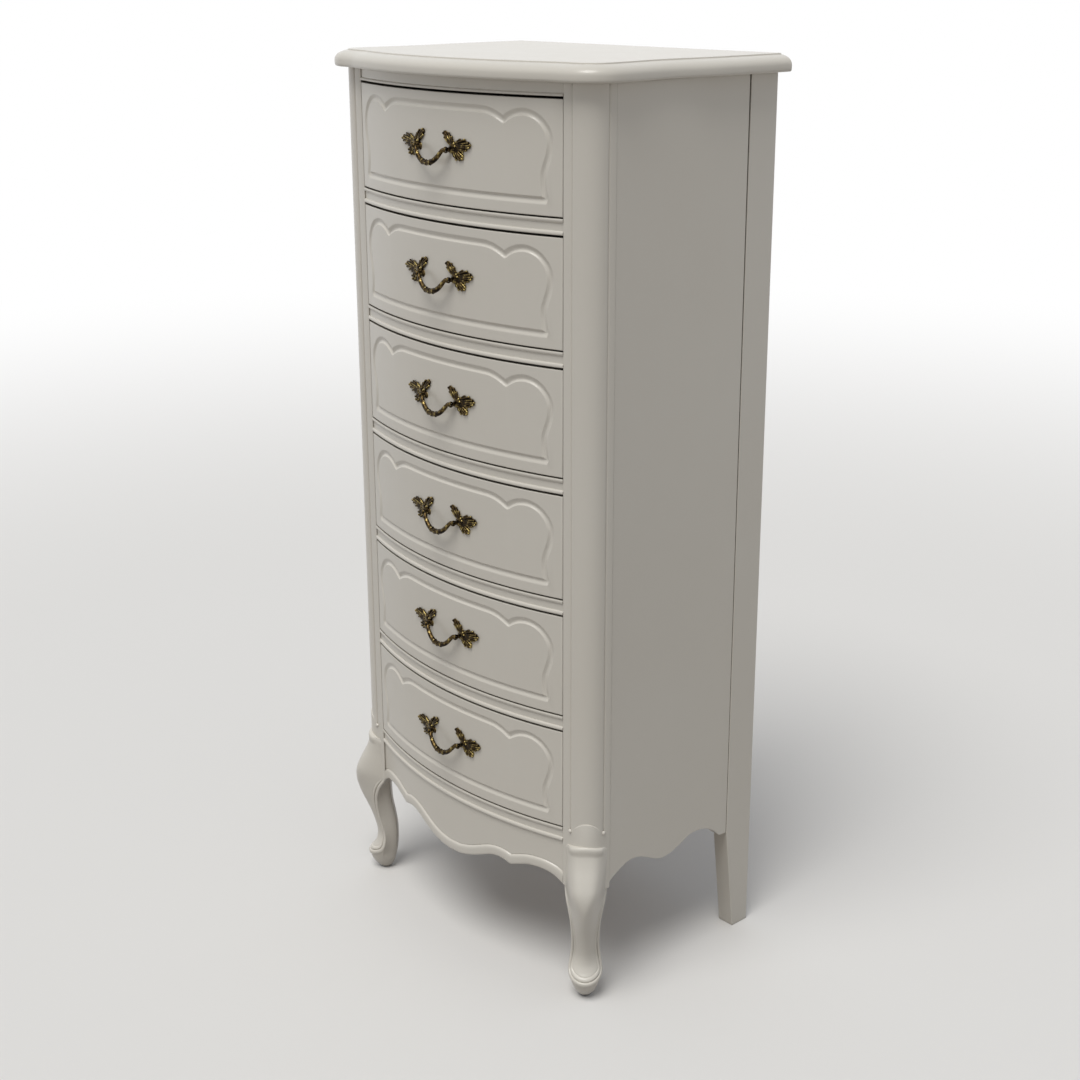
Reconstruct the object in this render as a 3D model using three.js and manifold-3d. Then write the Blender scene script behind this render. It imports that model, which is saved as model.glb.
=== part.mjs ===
// A tall bow-front chest of six drawers on cabriole legs, painted, with antiqued brass bail pulls.
// Millimetres, +Z up, the front faces -Y. The origin lies on the floor under the middle of the chest.

import * as THREE from 'three';
import { mergeVertices } from 'three/addons/utils/BufferGeometryUtils.js';
import Module from 'manifold-3d';

const wasm = await Module();
wasm.setup();

// Case: the openings between the front posts, stacked from the base up
const drawerCount = 6;
const openingWidth = 432;
const openingHeight = 152.7;
const railHeight = 21;
const friezeHeight = 18.1;
const baseHeight = 266.7;
const caseDepth = 346;
const bowDepth = 36.5;
const fit = 0.3;
const overrun = 40;
const sliver = 0.05;
const bowSteps = 12;

// Top board and its moulded edge
const topThickness = 24;
const topSideOverhang = 20.2;
const topFrontOverhang = 19;
const topBackOverhang = 3.5;
const topSideDip = 8;
const topEdgeWidth = 20;
const topStepDepth = 1.6;
const topNoseDrop = 13.5;
const topNoseRound = 3.5;

// Front posts, with the quarter column on the outer corner
const postWidth = 51.5;
const postDepth = 44.5;
const columnWidth = 34;
const columnDepth = 30;
const quirkWidth = 3.4;
const quirkDepth = 1.8;
const collarHeight = 36;
const collarProud = 1.6;
const archRise = 18;
const nubRadius = 3.2;
const columnSteps = 6;

// Cabriole legs, measured along the diagonal of the post from the centre of the column
const legHeight = 250;
const kneeReach = 61.3;
const kneeHalfWidth = 31;
const legLip = 3;
const legLipDepth = 1;
const shoulderFall = 8.3;
const blockHeight = 176;

// Rear posts
const rearPostWidth = 28;
const rearPostDepth = 53;
const rearFootDepth = 33;
const rearTaperHeight = 172;

// Rails, frieze and bottom rail
const railDepth = 22;
const railBead = 5.5;
const railBeadProud = 1.6;
const railHollow = 1.8;
const friezeBead = 4;
const friezeSetback = 1.5;

// Apron below the bottom rail
const apronThickness = 20;
const apronHeight = 90;
const apronBand = 10;
const apronBandProud = 2;

// Side panels
const sideThickness = 18;
const sideSetback = 1;
const sideHeight = 1134.2;
const sideArch = 32;

// Back and inner frame
const backThickness = 5;
const backInset = 3;
const backDrop = 70;
const backRailHeight = 45;
const backRailDepth = 18;
const boardThickness = 12;
const ribWidth = 20;
const ribHeight = 8;
const ribInset = 12;

// Drawers
const frontThickness = 19;
const frontGapAbove = 2.4;
const frontGapBelow = 2.2;
const frontGapSide = 1;
const boxClearance = 5;
const boxWall = 12;
const boxLength = 300;
const boxHeight = 115;
const bottomThickness = 5;
const bottomRise = 11;
const slotDepth = 5;
const cleatWidth = 12;
const cleatGap = 1;

// Routed outline on each drawer front
const grooveWidth = 10;
const grooveDepth = 2.6;
const panelHalfWidth = 198;
const panelHeight = 110.8;
const panelRise = 19.5;

// Pulls
const pullSpan = 54;
const pullStandoff = 8;
const bailDrop = 21;
const bailSwell = 6;
const bailWire = 4.6;
const pinDiameter = 3;
const pinLength = 6;
const pinClearance = 0.35;
const knuckleDiameter = 7.6;
const earDiameter = 8.4;
const rosetteOffset = 15;
const leafThickness = 3.2;
const leafRoot = 3;
const outerLeafReach = 31;
const outerLeafWidth = 15;
const outerLeafTurn = 0.24;
const upperLeafReach = 30;
const upperLeafWidth = 12;
const upperLeafTurn = 2.25;
const lowerLeafReach = 21;
const lowerLeafWidth = 13;
const lowerLeafTurn = -0.5;

// Steps that round forms are divided into
const wireSides = 6;
const bailSteps = 10;
const ballSides = 6;
const ballRings = 4;
const beadSteps = 3;
const cornerSteps = 7;
const lobeSteps = 7;
const waveSteps = 12;

// Places worked out from the sizes above
const halfOpening = openingWidth / 2;
const caseHalfWidth = halfOpening + postWidth;
const levelPitch = openingHeight + railHeight;
const caseTop = baseHeight + drawerCount * openingHeight + (drawerCount - 1) * railHeight + friezeHeight;
const columnX = caseHalfWidth - columnWidth;
const columnY = columnDepth;
const sideOuter = caseHalfWidth - sideSetback;
const sideInner = sideOuter - sideThickness;
const rearPostInner = caseHalfWidth - rearPostWidth;
const rearPostFront = caseDepth - rearPostDepth;
const backFront = caseDepth - backInset - backThickness;
const frontHeight = openingHeight - frontGapAbove - frontGapBelow;
const frontHalfWidth = halfOpening - frontGapSide;
const boxHalfWidth = halfOpening - boxClearance;
const depthCentre = (caseDepth + topBackOverhang - bowDepth - topFrontOverhang) / 2;

const openingBottom = (level) => baseHeight + level * levelPitch;
const bowY = (x) => -bowDepth * (1 - (x / halfOpening) ** 2);

// Finishes
const paint = () => new THREE.MeshStandardMaterial({ color: 0xd9d5cc, roughness: 0.42, metalness: 0 });
const innerWood = () => new THREE.MeshStandardMaterial({ color: 0xb08d5f, roughness: 0.75, metalness: 0 });
const hardboard = () => new THREE.MeshStandardMaterial({ color: 0x7a5c3e, roughness: 0.85, metalness: 0 });
const brass = () => new THREE.MeshStandardMaterial({ color: 0x7d6330, roughness: 0.38, metalness: 1 });

const chest = new THREE.Group();
chest.position.y = -depthCentre;

function addPiece(name, geometry, material, parent = chest) {
  const mesh = new THREE.Mesh(geometry, material);
  mesh.name = name;
  parent.add(mesh);
  return mesh;
}

// Closed solids and their joins
function weld(geometry) {
  const bare = geometry.clone();
  bare.deleteAttribute('normal');
  bare.deleteAttribute('uv');
  return mergeVertices(bare);
}

function solidOf(geometry) {
  const merged = weld(geometry);
  const mesh = new wasm.Mesh({
    numProp: 3,
    vertProperties: new Float32Array(merged.attributes.position.array),
    triVerts: new Uint32Array(merged.index.array),
  });
  return new wasm.Manifold(mesh);
}

function geometryOf(solid) {
  const mesh = solid.asOriginal().simplify(sliver).getMesh();
  const geometry = new THREE.BufferGeometry();
  geometry.setAttribute('position', new THREE.BufferAttribute(new Float32Array(mesh.vertProperties), 3));
  geometry.setIndex(new THREE.BufferAttribute(new Uint32Array(mesh.triVerts), 1));
  return geometry;
}

const join = (...solids) => solids.reduce((sum, next) => sum.add(next));

// Outlines pushed along one axis: a plan upwards, an elevation backwards, a side view across
function shapeOf(points) {
  return new THREE.Shape(points.map(([u, v]) => new THREE.Vector2(u, v)));
}

function planUp(points, bottom, height) {
  const geometry = new THREE.ExtrudeGeometry(shapeOf(points), { depth: height, bevelEnabled: false });
  return geometry.translate(0, 0, bottom);
}

function elevationBack(points, front, depth) {
  const geometry = new THREE.ExtrudeGeometry(shapeOf(points), { depth, bevelEnabled: false });
  geometry.rotateX(Math.PI / 2);
  return geometry.translate(0, front + depth, 0);
}

function sideAcross(points, left, width) {
  const geometry = new THREE.ExtrudeGeometry(shapeOf(points), { depth: width, bevelEnabled: false });
  const ahead = new THREE.Vector3(0, 1, 0);
  const upward = new THREE.Vector3(0, 0, 1);
  const across = new THREE.Vector3(1, 0, 0);
  geometry.applyMatrix4(new THREE.Matrix4().makeBasis(ahead, upward, across));
  return geometry.translate(left, 0, 0);
}

function block(x0, x1, y0, y1, z0, z1) {
  const geometry = new THREE.BoxGeometry(x1 - x0, y1 - y0, z1 - z0);
  return geometry.translate((x0 + x1) / 2, (y0 + y1) / 2, (z0 + z1) / 2);
}

// Triangles that fill one ring and turn the same way round as the ring
function capTriangles(ring, capPlane) {
  const flat = ring.map(capPlane);
  const clockwise = THREE.ShapeUtils.isClockWise(flat);
  return THREE.ShapeUtils.triangulateShape(flat, []).map(([p, q, r]) => (clockwise ? [p, r, q] : [p, q, r]));
}

// A skin over rings of equal count; the ends are capped, or the last ring meets the first
function loft(rings, capPlane) {
  const count = rings[0].length;
  const positions = rings.flat().flatMap(([x, y, z]) => [x, y, z]);
  const index = [];
  const spans = capPlane ? rings.length - 1 : rings.length;
  for (let i = 0; i < spans; i += 1) {
    const here = i * count;
    const there = ((i + 1) % rings.length) * count;
    for (let k = 0; k < count; k += 1) {
      const next = (k + 1) % count;
      index.push(here + k, here + next, there + next, here + k, there + next, there + k);
    }
  }
  if (capPlane) {
    const last = (rings.length - 1) * count;
    capTriangles(rings[0], capPlane).forEach(([p, q, r]) => index.push(p, r, q));
    capTriangles(rings[rings.length - 1], capPlane).forEach(([p, q, r]) => {
      index.push(last + p, last + q, last + r);
    });
  }
  let volume = 0;
  const corner = (n) => new THREE.Vector3().fromArray(positions, index[n] * 3);
  for (let n = 0; n < index.length; n += 3) {
    volume += corner(n).dot(corner(n + 1).cross(corner(n + 2)));
  }
  if (volume < 0) {
    index.reverse();
  }
  const geometry = new THREE.BufferGeometry();
  geometry.setAttribute('position', new THREE.Float32BufferAttribute(positions, 3));
  geometry.setIndex(index);
  return geometry;
}

const seenFromSide = ([, y, z]) => new THREE.Vector2(y, z);
const seenFromAbove = ([x, y]) => new THREE.Vector2(x, y);

// Stations along the bow, evenly spaced from side to side
function bowStations(halfWidth) {
  return Array.from({ length: bowSteps + 1 }, (_, i) => halfWidth * (2 * (i / bowSteps) - 1));
}

// A moulding that follows the bow, straight at the back; its profile holds [proud, z] pairs
function bowMoulding(profile, halfWidth, back) {
  const lowest = profile[0][1];
  const highest = profile[profile.length - 1][1];
  const rings = bowStations(halfWidth).map((x) => [
    ...profile.map(([proud, z]) => [x, bowY(x) - proud, z]),
    [x, back, highest],
    [x, back, lowest],
  ]);
  return loft(rings, seenFromSide);
}

// A bowed board of even thickness
function bowBoard(halfWidth, front, thickness, bottom, height) {
  const stations = bowStations(halfWidth);
  const outer = stations.map((x) => [x, bowY(x) + front]);
  const inner = [...stations].reverse().map((x) => [x, bowY(x) + front + thickness]);
  return planUp([...outer, ...inner], bottom, height);
}

function mirrored(geometry) {
  const copy = weld(geometry);
  copy.scale(-1, 1, 1);
  const order = copy.index;
  for (let n = 0; n < order.count; n += 3) {
    const first = order.getX(n);
    order.setX(n, order.getX(n + 1));
    order.setX(n + 1, first);
  }
  return copy;
}

// Right and left copies of a piece that is drawn on the right
function addPair(name, geometry, material, parent = chest) {
  addPiece(`${name}_right`, geometry, material(), parent);
  addPiece(`${name}_left`, mirrored(geometry), material(), parent);
}

// Top board: its edge is stepped down from the flat field, falls in a long round and turns under
function topOutline() {
  const frontShares = [0, 0.16, 0.32, 0.48, 0.64, 0.8, 0.95];
  const sideShares = [0.14, 0.28, 0.42, 0.58, 0.72, 0.86, 1];
  const dipShare = 0.62;
  const right = frontShares.map((share) => {
    const x = share * halfOpening;
    const slope = (2 * bowDepth * x) / halfOpening ** 2;
    return { x, y: bowY(x) - topFrontOverhang, nx: slope, ny: -1 };
  });
  const reachX = columnWidth + topSideOverhang;
  const reachY = columnDepth + topFrontOverhang;
  for (let i = 0; i <= cornerSteps; i += 1) {
    const turn = (i / cornerSteps) * (Math.PI / 2);
    const across = Math.sin(turn);
    const ahead = Math.cos(turn);
    right.push({
      x: columnX + reachX * across,
      y: columnY - reachY * ahead,
      nx: across / reachX,
      ny: -ahead / reachY,
    });
  }
  const outerX = caseHalfWidth + topSideOverhang;
  const backY = caseDepth + topBackOverhang;
  const run = (backY - columnY) * dipShare;
  sideShares.forEach((share) => {
    const turn = 2 * Math.PI * share;
    const x = outerX - (topSideDip * (1 - Math.cos(turn))) / 2;
    const slope = (topSideDip * Math.PI * Math.sin(turn)) / run;
    right.push({ x, y: columnY + run * share, nx: 1, ny: slope });
  });
  right.push({ x: outerX, y: backY, nx: 1, ny: 0 });
  const left = right.slice(1).reverse().map((p) => ({ ...p, x: -p.x, nx: -p.nx }));
  return [...right, ...left];
}

const fallInsetShares = [0, 0.08, 0.32, 0.64, 1];
const fallDropShares = [1, 0.68, 0.36, 0.13, 0];
const noseTurnShare = 0.25;

function topBoard() {
  const edge = [
    { inset: topNoseRound, drop: topThickness },
    { inset: topNoseRound * noseTurnShare, drop: topThickness - topNoseRound * noseTurnShare },
    { inset: 0, drop: topThickness - topNoseRound },
    ...fallInsetShares.map((share, i) => ({
      inset: topEdgeWidth * share,
      drop: topStepDepth + (topNoseDrop - topStepDepth) * fallDropShares[i],
    })),
    { inset: topEdgeWidth, drop: 0 },
  ];
  const outline = topOutline();
  const rings = edge.map(({ inset, drop }) => outline.map((p) => {
    const length = Math.hypot(p.nx, p.ny);
    return [p.x - (inset * p.nx) / length, p.y - (inset * p.ny) / length, caseTop + topThickness - drop];
  }));
  return loft(rings, seenFromAbove);
}

// Front post: front flat, quirk, quarter column, quirk, side flat
function columnArc(grow) {
  return Array.from({ length: columnSteps + 1 }, (_, i) => {
    const turn = (i / columnSteps) * (Math.PI / 2);
    return [
      columnX + (columnWidth + grow) * Math.sin(turn),
      columnY - (columnDepth + grow) * Math.cos(turn),
    ];
  });
}

function postPlan() {
  return [
    [halfOpening, 0],
    [columnX - quirkWidth, 0],
    [columnX - quirkWidth / 2, quirkDepth],
    ...columnArc(0),
    [caseHalfWidth - quirkDepth, columnY + quirkWidth / 2],
    [caseHalfWidth, columnY + quirkWidth],
    [caseHalfWidth, postDepth],
    [halfOpening, postDepth],
  ];
}

// The collar stands a little proud of the column, and its top edge rises to an arch between two nubs
function collar() {
  const bottom = legHeight - archRise;
  const shoulder = legHeight + collarHeight - archRise;
  const arc = columnArc(collarProud);
  const rings = arc.map(([x, y], i) => {
    const along = i / (arc.length - 1);
    const top = shoulder + archRise * Math.sin(Math.PI * along);
    const inner = [(x + columnX) / 2, (y + columnY) / 2];
    return [[x, y, bottom], [...inner, bottom], [...inner, top], [x, y, top]];
  });
  const outFrom = ([x, y, z]) => new THREE.Vector2(Math.hypot(x - columnX, y - columnY), z);
  const ball = new THREE.SphereGeometry(nubRadius, ballSides, ballRings);
  const quirkMiddle = quirkWidth / 2;
  const sunk = nubRadius / 2;
  return join(
    solidOf(loft(rings, outFrom)),
    solidOf(ball.clone().translate(columnX - quirkMiddle, sunk, shoulder)),
    solidOf(ball.clone().translate(caseHalfWidth - sunk, columnY + quirkMiddle, shoulder)),
  );
}

// Leg sections from the floor up: height, front, edge and back are places on the diagonal, width is
// the half width at the crisp edges that frame the front of the leg. Towards its top the knee falls away
// from the middle to both sides, which arches the shoulder
const legShares = [
  { height: 0, front: 0.46, edge: 0.44, back: 0.2, width: 0.22 },
  { height: 0.016, front: 0.54, edge: 0.5, back: 0.12, width: 0.36 },
  { height: 0.05, front: 0.62, edge: 0.5, back: 0.05, width: 0.53 },
  { height: 0.09, front: 0.695, edge: 0.44, back: 0, width: 0.67 },
  { height: 0.125, front: 0.72, edge: 0.36, back: -0.04, width: 0.75 },
  { height: 0.15, front: 0.665, edge: 0.29, back: -0.055, width: 0.78 },
  { height: 0.18, front: 0.566, edge: 0.235, back: -0.07, width: 0.775 },
  { height: 0.22, front: 0.495, edge: 0.205, back: -0.08, width: 0.74 },
  { height: 0.28, front: 0.48, edge: 0.225, back: -0.08, width: 0.69 },
  { height: 0.34, front: 0.533, edge: 0.28, back: -0.065, width: 0.66 },
  { height: 0.412, front: 0.63, edge: 0.35, back: -0.02, width: 0.66 },
  { height: 0.484, front: 0.755, edge: 0.39, back: 0.03, width: 0.7 },
  { height: 0.552, front: 0.882, edge: 0.38, back: 0.06, width: 0.765 },
  { height: 0.624, front: 0.977, edge: 0.31, back: 0.06, width: 0.87 },
  { height: 0.688, front: 1, edge: 0.2, back: 0.03, width: 1 },
  { height: 0.744, front: 0.964, edge: 0.14, back: 0, width: 0.96 },
  { height: 0.8, front: 0.868, edge: 0.14, back: 0, width: 0.93 },
  { height: 0.872, front: 0.715, edge: 0.14, back: 0, width: 0.93, fall: 0.25 },
  { height: 0.936, front: 0.62, edge: 0.14, back: 0, width: 0.92, fall: 0.65 },
  { height: 0.984, front: 0.585, edge: 0.14, back: 0, width: 0.9, fall: 0.94 },
  { height: 1, front: 0.53, edge: 0.14, back: 0, width: 0.86, fall: 1 },
];

const frontTurnShares = [0.15, 0.34, 0.55, 0.78, 1];
const backWidthShare = 0.45;
const legLipShare = 0.25;

function leg() {
  const rings = legShares.map((share) => {
    const front = share.front * kneeReach;
    const edge = share.edge * kneeReach;
    const back = share.back * kneeReach;
    const width = share.width * kneeHalfWidth;
    const lipIn = width - Math.min(legLip, width * legLipShare);
    const half = [
      [back, width * backWidthShare],
      [edge, width],
      [edge + legLipDepth, width],
      ...frontTurnShares.map((turnShare) => {
        const turn = turnShare * (Math.PI / 2);
        return [edge + (front - edge) * Math.sin(turn), lipIn * Math.cos(turn)];
      }),
    ];
    const others = half.slice(0, -1).reverse().map(([s, t]) => [s, -t]);
    const fall = (share.fall ?? 0) * shoulderFall;
    return [...half, ...others].map(([s, t]) => [
      columnX + (s + t) / Math.SQRT2,
      columnY + (t - s) / Math.SQRT2,
      share.height * legHeight - fall * (t / width) ** 2,
    ]);
  });
  return loft(rings, seenFromAbove);
}

function frontPost() {
  const shaft = planUp(postPlan(), blockHeight, caseTop - blockHeight);
  const corner = solidOf(block(halfOpening, caseHalfWidth + overrun, -overrun, postDepth, 0, caseTop));
  return geometryOf(join(solidOf(shaft), collar(), solidOf(leg()).intersect(corner)));
}

// Rear post: square in section, its foot tapers from the front
function rearPost() {
  const outline = [
    [caseDepth - rearFootDepth, 0],
    [caseDepth, 0],
    [caseDepth, caseTop],
    [rearPostFront, caseTop],
    [rearPostFront, rearTaperHeight],
  ];
  return sideAcross(outline, rearPostInner, rearPostWidth);
}

// Double beaded rail profile: a round bead at each edge and a shallow hollow between them
function beadPoints(bottom, height, sinkBelow, sinkAbove) {
  return Array.from({ length: beadSteps + 1 }, (_, i) => {
    const along = i / beadSteps;
    const turn = along * Math.PI;
    const sink = sinkBelow + (sinkAbove - sinkBelow) * along;
    return [railBeadProud * Math.sin(turn) - sink, bottom + (height * (1 - Math.cos(turn))) / 2];
  });
}

function railProfile(bottom) {
  const upperBead = bottom + railHeight - railBead;
  return [...beadPoints(bottom, railBead, 0, railHollow), ...beadPoints(upperBead, railBead, railHollow, 0)];
}

function friezeProfile(bottom) {
  const top = bottom + friezeHeight - fit;
  return [...beadPoints(bottom, friezeBead, 0, friezeSetback), [-friezeSetback, top]];
}

// Smooth line through elevation or side points
function smoothLine(points, steps) {
  const flat = points.map(([u, v]) => new THREE.Vector3(u, v, 0));
  const curve = new THREE.CatmullRomCurve3(flat, false, 'centripetal');
  return curve.getPoints(steps).map((p) => [p.x, p.y]);
}

// Lower edge of the apron: lobe, cusp, lobe and a deep centre, drawn on the right half
const apronSpanShares = [1, 0.93, 0.8, 0.7, 0.59];
const apronFallShares = [0.775, 0.66, 0.605, 0.66, 0.76];
const apronInnerSpanShares = [0.59, 0.5, 0.4, 0.26, 0.13, 0];
const apronInnerFallShares = [0.76, 0.69, 0.715, 0.86, 0.97, 1];

function apronEdge(inward) {
  const top = baseHeight - railHeight;
  const at = (spans, falls) => spans.map((share, i) => [share * halfOpening, top - falls[i] * apronHeight]);
  const outer = smoothLine(at(apronSpanShares, apronFallShares), lobeSteps);
  const inner = smoothLine(at(apronInnerSpanShares, apronInnerFallShares), waveSteps);
  const right = [...outer, ...inner.slice(1)];
  const both = [...right, ...right.slice(0, -1).reverse().map(([x, z]) => [-x, z])];
  if (inward === 0) {
    return both;
  }
  return both.map(([x, z], i) => {
    const before = both[Math.max(i - 1, 0)];
    const after = both[Math.min(i + 1, both.length - 1)];
    const dx = after[0] - before[0];
    const dz = after[1] - before[1];
    const length = Math.hypot(dx, dz);
    return [x + (inward * dz) / length, z - (inward * dx) / length];
  });
}

function apron() {
  const top = baseHeight - railHeight - fit;
  const halfWidth = halfOpening - fit;
  const floor = top - apronHeight - overrun;
  const height = top - floor;
  const board = solidOf(bowBoard(halfWidth, apronBandProud, apronThickness - apronBandProud, floor, height));
  const bandSkin = solidOf(bowBoard(halfWidth, 0, apronThickness / 2, floor, height));
  const edge = apronEdge(0);
  const inner = apronEdge(apronBand);
  const frontmost = -bowDepth - overrun;
  const through = bowDepth + apronThickness + 2 * overrun;
  const closing = [[-halfOpening - overrun, top + overrun], [halfOpening + overrun, top + overrun]];
  const ends = (line) => [
    [halfOpening + overrun, line[0][1]],
    ...line,
    [-halfOpening - overrun, line[line.length - 1][1]],
  ];
  const face = solidOf(elevationBack([...ends(edge), ...closing], frontmost, through));
  const field = solidOf(elevationBack([...ends(inner), ...closing], frontmost, through));
  return geometryOf(join(board.intersect(face), bandSkin.intersect(face).subtract(field)));
}

// Side panel, its lower edge shaped like the apron
const sideRunShares = [0, 0.07, 0.16, 0.253, 0.398, 0.493, 0.592, 0.675, 0.754, 0.826, 0.892, 0.934];
const sideRiseShares = [0.38, 0.7, 0.975, 0.89, 0.36, 0.32, 0.556, 0.816, 0.83, 0.68, 0.37, 0.056];

function sidePanel() {
  const front = postDepth + fit;
  const back = rearPostFront - fit;
  const top = caseTop - fit;
  const low = top - sideHeight;
  const run = back - front;
  const points = sideRunShares.map((share, i) => [front + share * run, low + sideRiseShares[i] * sideArch]);
  const lower = smoothLine(points, lobeSteps + waveSteps);
  const outline = [...lower, [back, low], [back, top], [front, top]];
  return sideAcross(outline, sideInner, sideThickness);
}

// Boards inside the case, notched round the posts
function dustBoard(level) {
  const top = openingBottom(level);
  const front = railDepth + fit;
  const outline = [
    [halfOpening - fit, front],
    [halfOpening - fit, postDepth + fit],
    [sideInner - fit, postDepth + fit],
    [sideInner - fit, rearPostFront - fit],
    [rearPostInner - fit, rearPostFront - fit],
    [rearPostInner - fit, backFront - fit],
  ];
  const left = [...outline].reverse().map(([x, y]) => [-x, y]);
  const board = planUp([...outline, ...left], top - boardThickness, boardThickness);
  const rib = block(
    -ribWidth / 2, ribWidth / 2,
    front + ribInset, backFront - fit - ribInset,
    top - boardThickness / 2, top + ribHeight,
  );
  return geometryOf(join(solidOf(board), solidOf(rib)));
}

function backRail(bottom) {
  const reach = rearPostInner - fit;
  const back = backFront - fit;
  return block(-reach, reach, back - backRailDepth, back, bottom, bottom + backRailHeight);
}

// Drawer front: a bowed board with the routed outline, drawn on the right half and mirrored
const panelSpanShares = [0, 0.16, 0.32, 0.46, 0.555, 0.605, 0.644];
const panelTopShares = [1, 1, 1, 0.997, 0.97, 0.935, 0.89];
const lobeSpanShares = [0.644, 0.7, 0.79, 0.88, 0.948, 0.99, 1, 0.985, 0.962, 0.952, 0.955, 0.971];
const lobeRiseShares = [0.89, 0.958, 0.993, 0.957, 0.865, 0.76, 0.65, 0.52, 0.4, 0.28, 0.14, 0];

const baseSpanShares = [0.8, 0.6, 0.4, 0.2, 0];
const baseRiseShares = [0, 0, 0, 0, 0];

function panelOutline() {
  const place = (spans, rises) => spans.map((share, i) => [share * panelHalfWidth, rises[i] * panelHeight]);
  const crown = place(panelSpanShares, panelTopShares);
  const lobe = smoothLine(place(lobeSpanShares, lobeRiseShares), waveSteps);
  const base = place(baseSpanShares, baseRiseShares);
  const right = [...crown, ...lobe.slice(1), ...base];
  const left = right.slice(1, -1).reverse().map(([x, z]) => [-x, z]);
  return [...right, ...left];
}

function grooveTool(bottom) {
  const line = panelOutline();
  const count = line.length;
  const rings = line.map(([x, z], i) => {
    const before = line[(i + count - 1) % count];
    const after = line[(i + 1) % count];
    const toHere = new THREE.Vector2(x - before[0], z - before[1]).normalize();
    const toNext = new THREE.Vector2(after[0] - x, after[1] - z).normalize();
    const along = toHere.clone().add(toNext).normalize();
    const spread = 1 / along.dot(toNext);
    const across = new THREE.Vector2(-along.y, along.x).multiplyScalar(spread);
    const at = (offset, depth) => {
      const px = x + across.x * offset;
      return [px, bowY(px) + depth, bottom + z + across.y * offset];
    };
    return [
      at(-grooveWidth / 2, 0),
      at(0, -grooveDepth),
      at(grooveWidth / 2, 0),
      at(0, grooveDepth),
    ];
  });
  return loft(rings, null);
}

function drawerFront() {
  const board = bowBoard(frontHalfWidth, 0, frontThickness, frontGapBelow, frontHeight);
  return geometryOf(solidOf(board).subtract(solidOf(grooveTool(frontGapBelow + panelRise))));
}

// Drawer box: sides and back in one, with a slot for the bottom panel
function innerCurve(halfWidth) {
  return bowStations(halfWidth).map((x) => [x, bowY(x) + frontThickness + fit]);
}

function drawerBox() {
  const outer = boxHalfWidth;
  const inner = boxHalfWidth - boxWall;
  const back = frontThickness + boxLength;
  const endY = (x) => bowY(x) + frontThickness + fit;
  const plan = [
    [outer, endY(outer)],
    [outer, back],
    [-outer, back],
    [-outer, endY(outer)],
    [-inner, endY(inner)],
    [-inner, back - boxWall],
    [inner, back - boxWall],
    [inner, endY(inner)],
  ];
  const slotTop = bottomRise + bottomThickness + fit;
  const slotHalf = inner + slotDepth + fit;
  const behind = back + overrun;
  const underBack = block(-inner, inner, back - boxWall - overrun, behind, -overrun, slotTop);
  const slot = block(-slotHalf, slotHalf, -overrun, behind, bottomRise - fit, slotTop);
  const walls = solidOf(planUp(plan, fit, boxHeight));
  return geometryOf(walls.subtract(solidOf(underBack)).subtract(solidOf(slot)));
}

function drawerBottom() {
  const half = boxHalfWidth - boxWall + slotDepth;
  const back = frontThickness + boxLength;
  const plan = [...innerCurve(half), [half, back], [-half, back]];
  const panel = solidOf(planUp(plan, bottomRise, bottomThickness));
  const cleatFront = frontThickness + fit;
  const near = ribWidth / 2 + cleatGap;
  const cleatTop = bottomRise + bottomThickness / 2;
  const cleat = (x0, x1) => solidOf(block(x0, x1, cleatFront, back, cleatGap, cleatTop));
  return geometryOf(join(panel, cleat(near, near + cleatWidth), cleat(-near - cleatWidth, -near)));
}

// Pull: two leafy rosettes with a socket each, and a bail that swings between them
const pullHeight = frontGapBelow + frontHeight / 2;
const eyeX = pullSpan / 2;
const eyeY = -bowDepth - pullStandoff;
const earX = eyeX + (bailWire + earDiameter) / 2 + fit;

function rod(start, end, diameter) {
  const from = new THREE.Vector3(...start);
  const to = new THREE.Vector3(...end);
  const run = to.clone().sub(from);
  const geometry = new THREE.CylinderGeometry(diameter / 2, diameter / 2, run.length(), wireSides);
  const upright = new THREE.Vector3(0, 1, 0);
  geometry.applyQuaternion(new THREE.Quaternion().setFromUnitVectors(upright, run.normalize()));
  const middle = from.add(to).divideScalar(2);
  return geometry.translate(middle.x, middle.y, middle.z);
}

const leafReachShares = [0.2, 0.45, 0.75, 1];
const leafWidthShares = [0.44, 0.5, 0.32, 0.05];
const leafHeightShares = [0, 1];
const leafSpreadShares = [1, 0.35];
const leafLengthShares = [1, 0.9];

function leaf(reach, width) {
  const ahead = leafReachShares.map((share, i) => [share * reach, leafWidthShares[i] * width]);
  const upper = [[-leafRoot, leafRoot / 2], ...ahead];
  const outline = [...upper.map(([u, v]) => [u, -v]), ...[...upper].reverse()];
  const rings = leafHeightShares.map((share, i) => outline.map(([u, v]) => [
    u * leafLengthShares[i],
    v * leafSpreadShares[i],
    share * leafThickness,
  ]));
  return loft(rings, seenFromAbove);
}

function rosette() {
  const centreX = eyeX + rosetteOffset;
  const surface = bowY(centreX) - fit;
  const tilt = Math.atan((2 * bowDepth * centreX) / halfOpening ** 2);
  const placed = (reach, width, turn) => {
    const geometry = leaf(reach, width).rotateZ(turn).rotateX(Math.PI / 2).rotateZ(tilt);
    return solidOf(geometry.translate(centreX, surface, pullHeight));
  };
  const stemFoot = bowY(eyeX) - fit;
  const stem = rod([earX, stemFoot, pullHeight], [earX, eyeY - earDiameter / 2, pullHeight], earDiameter);
  const socket = rod([eyeX, eyeY, pullHeight], [eyeX + pinLength + pinClearance, eyeY, pullHeight],
    pinDiameter + 2 * pinClearance);
  const crown = join(
    placed(outerLeafReach, outerLeafWidth, outerLeafTurn),
    placed(upperLeafReach, upperLeafWidth, upperLeafTurn),
    placed(lowerLeafReach, lowerLeafWidth, lowerLeafTurn),
    solidOf(stem),
  );
  return geometryOf(crown.subtract(solidOf(socket)));
}

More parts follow.
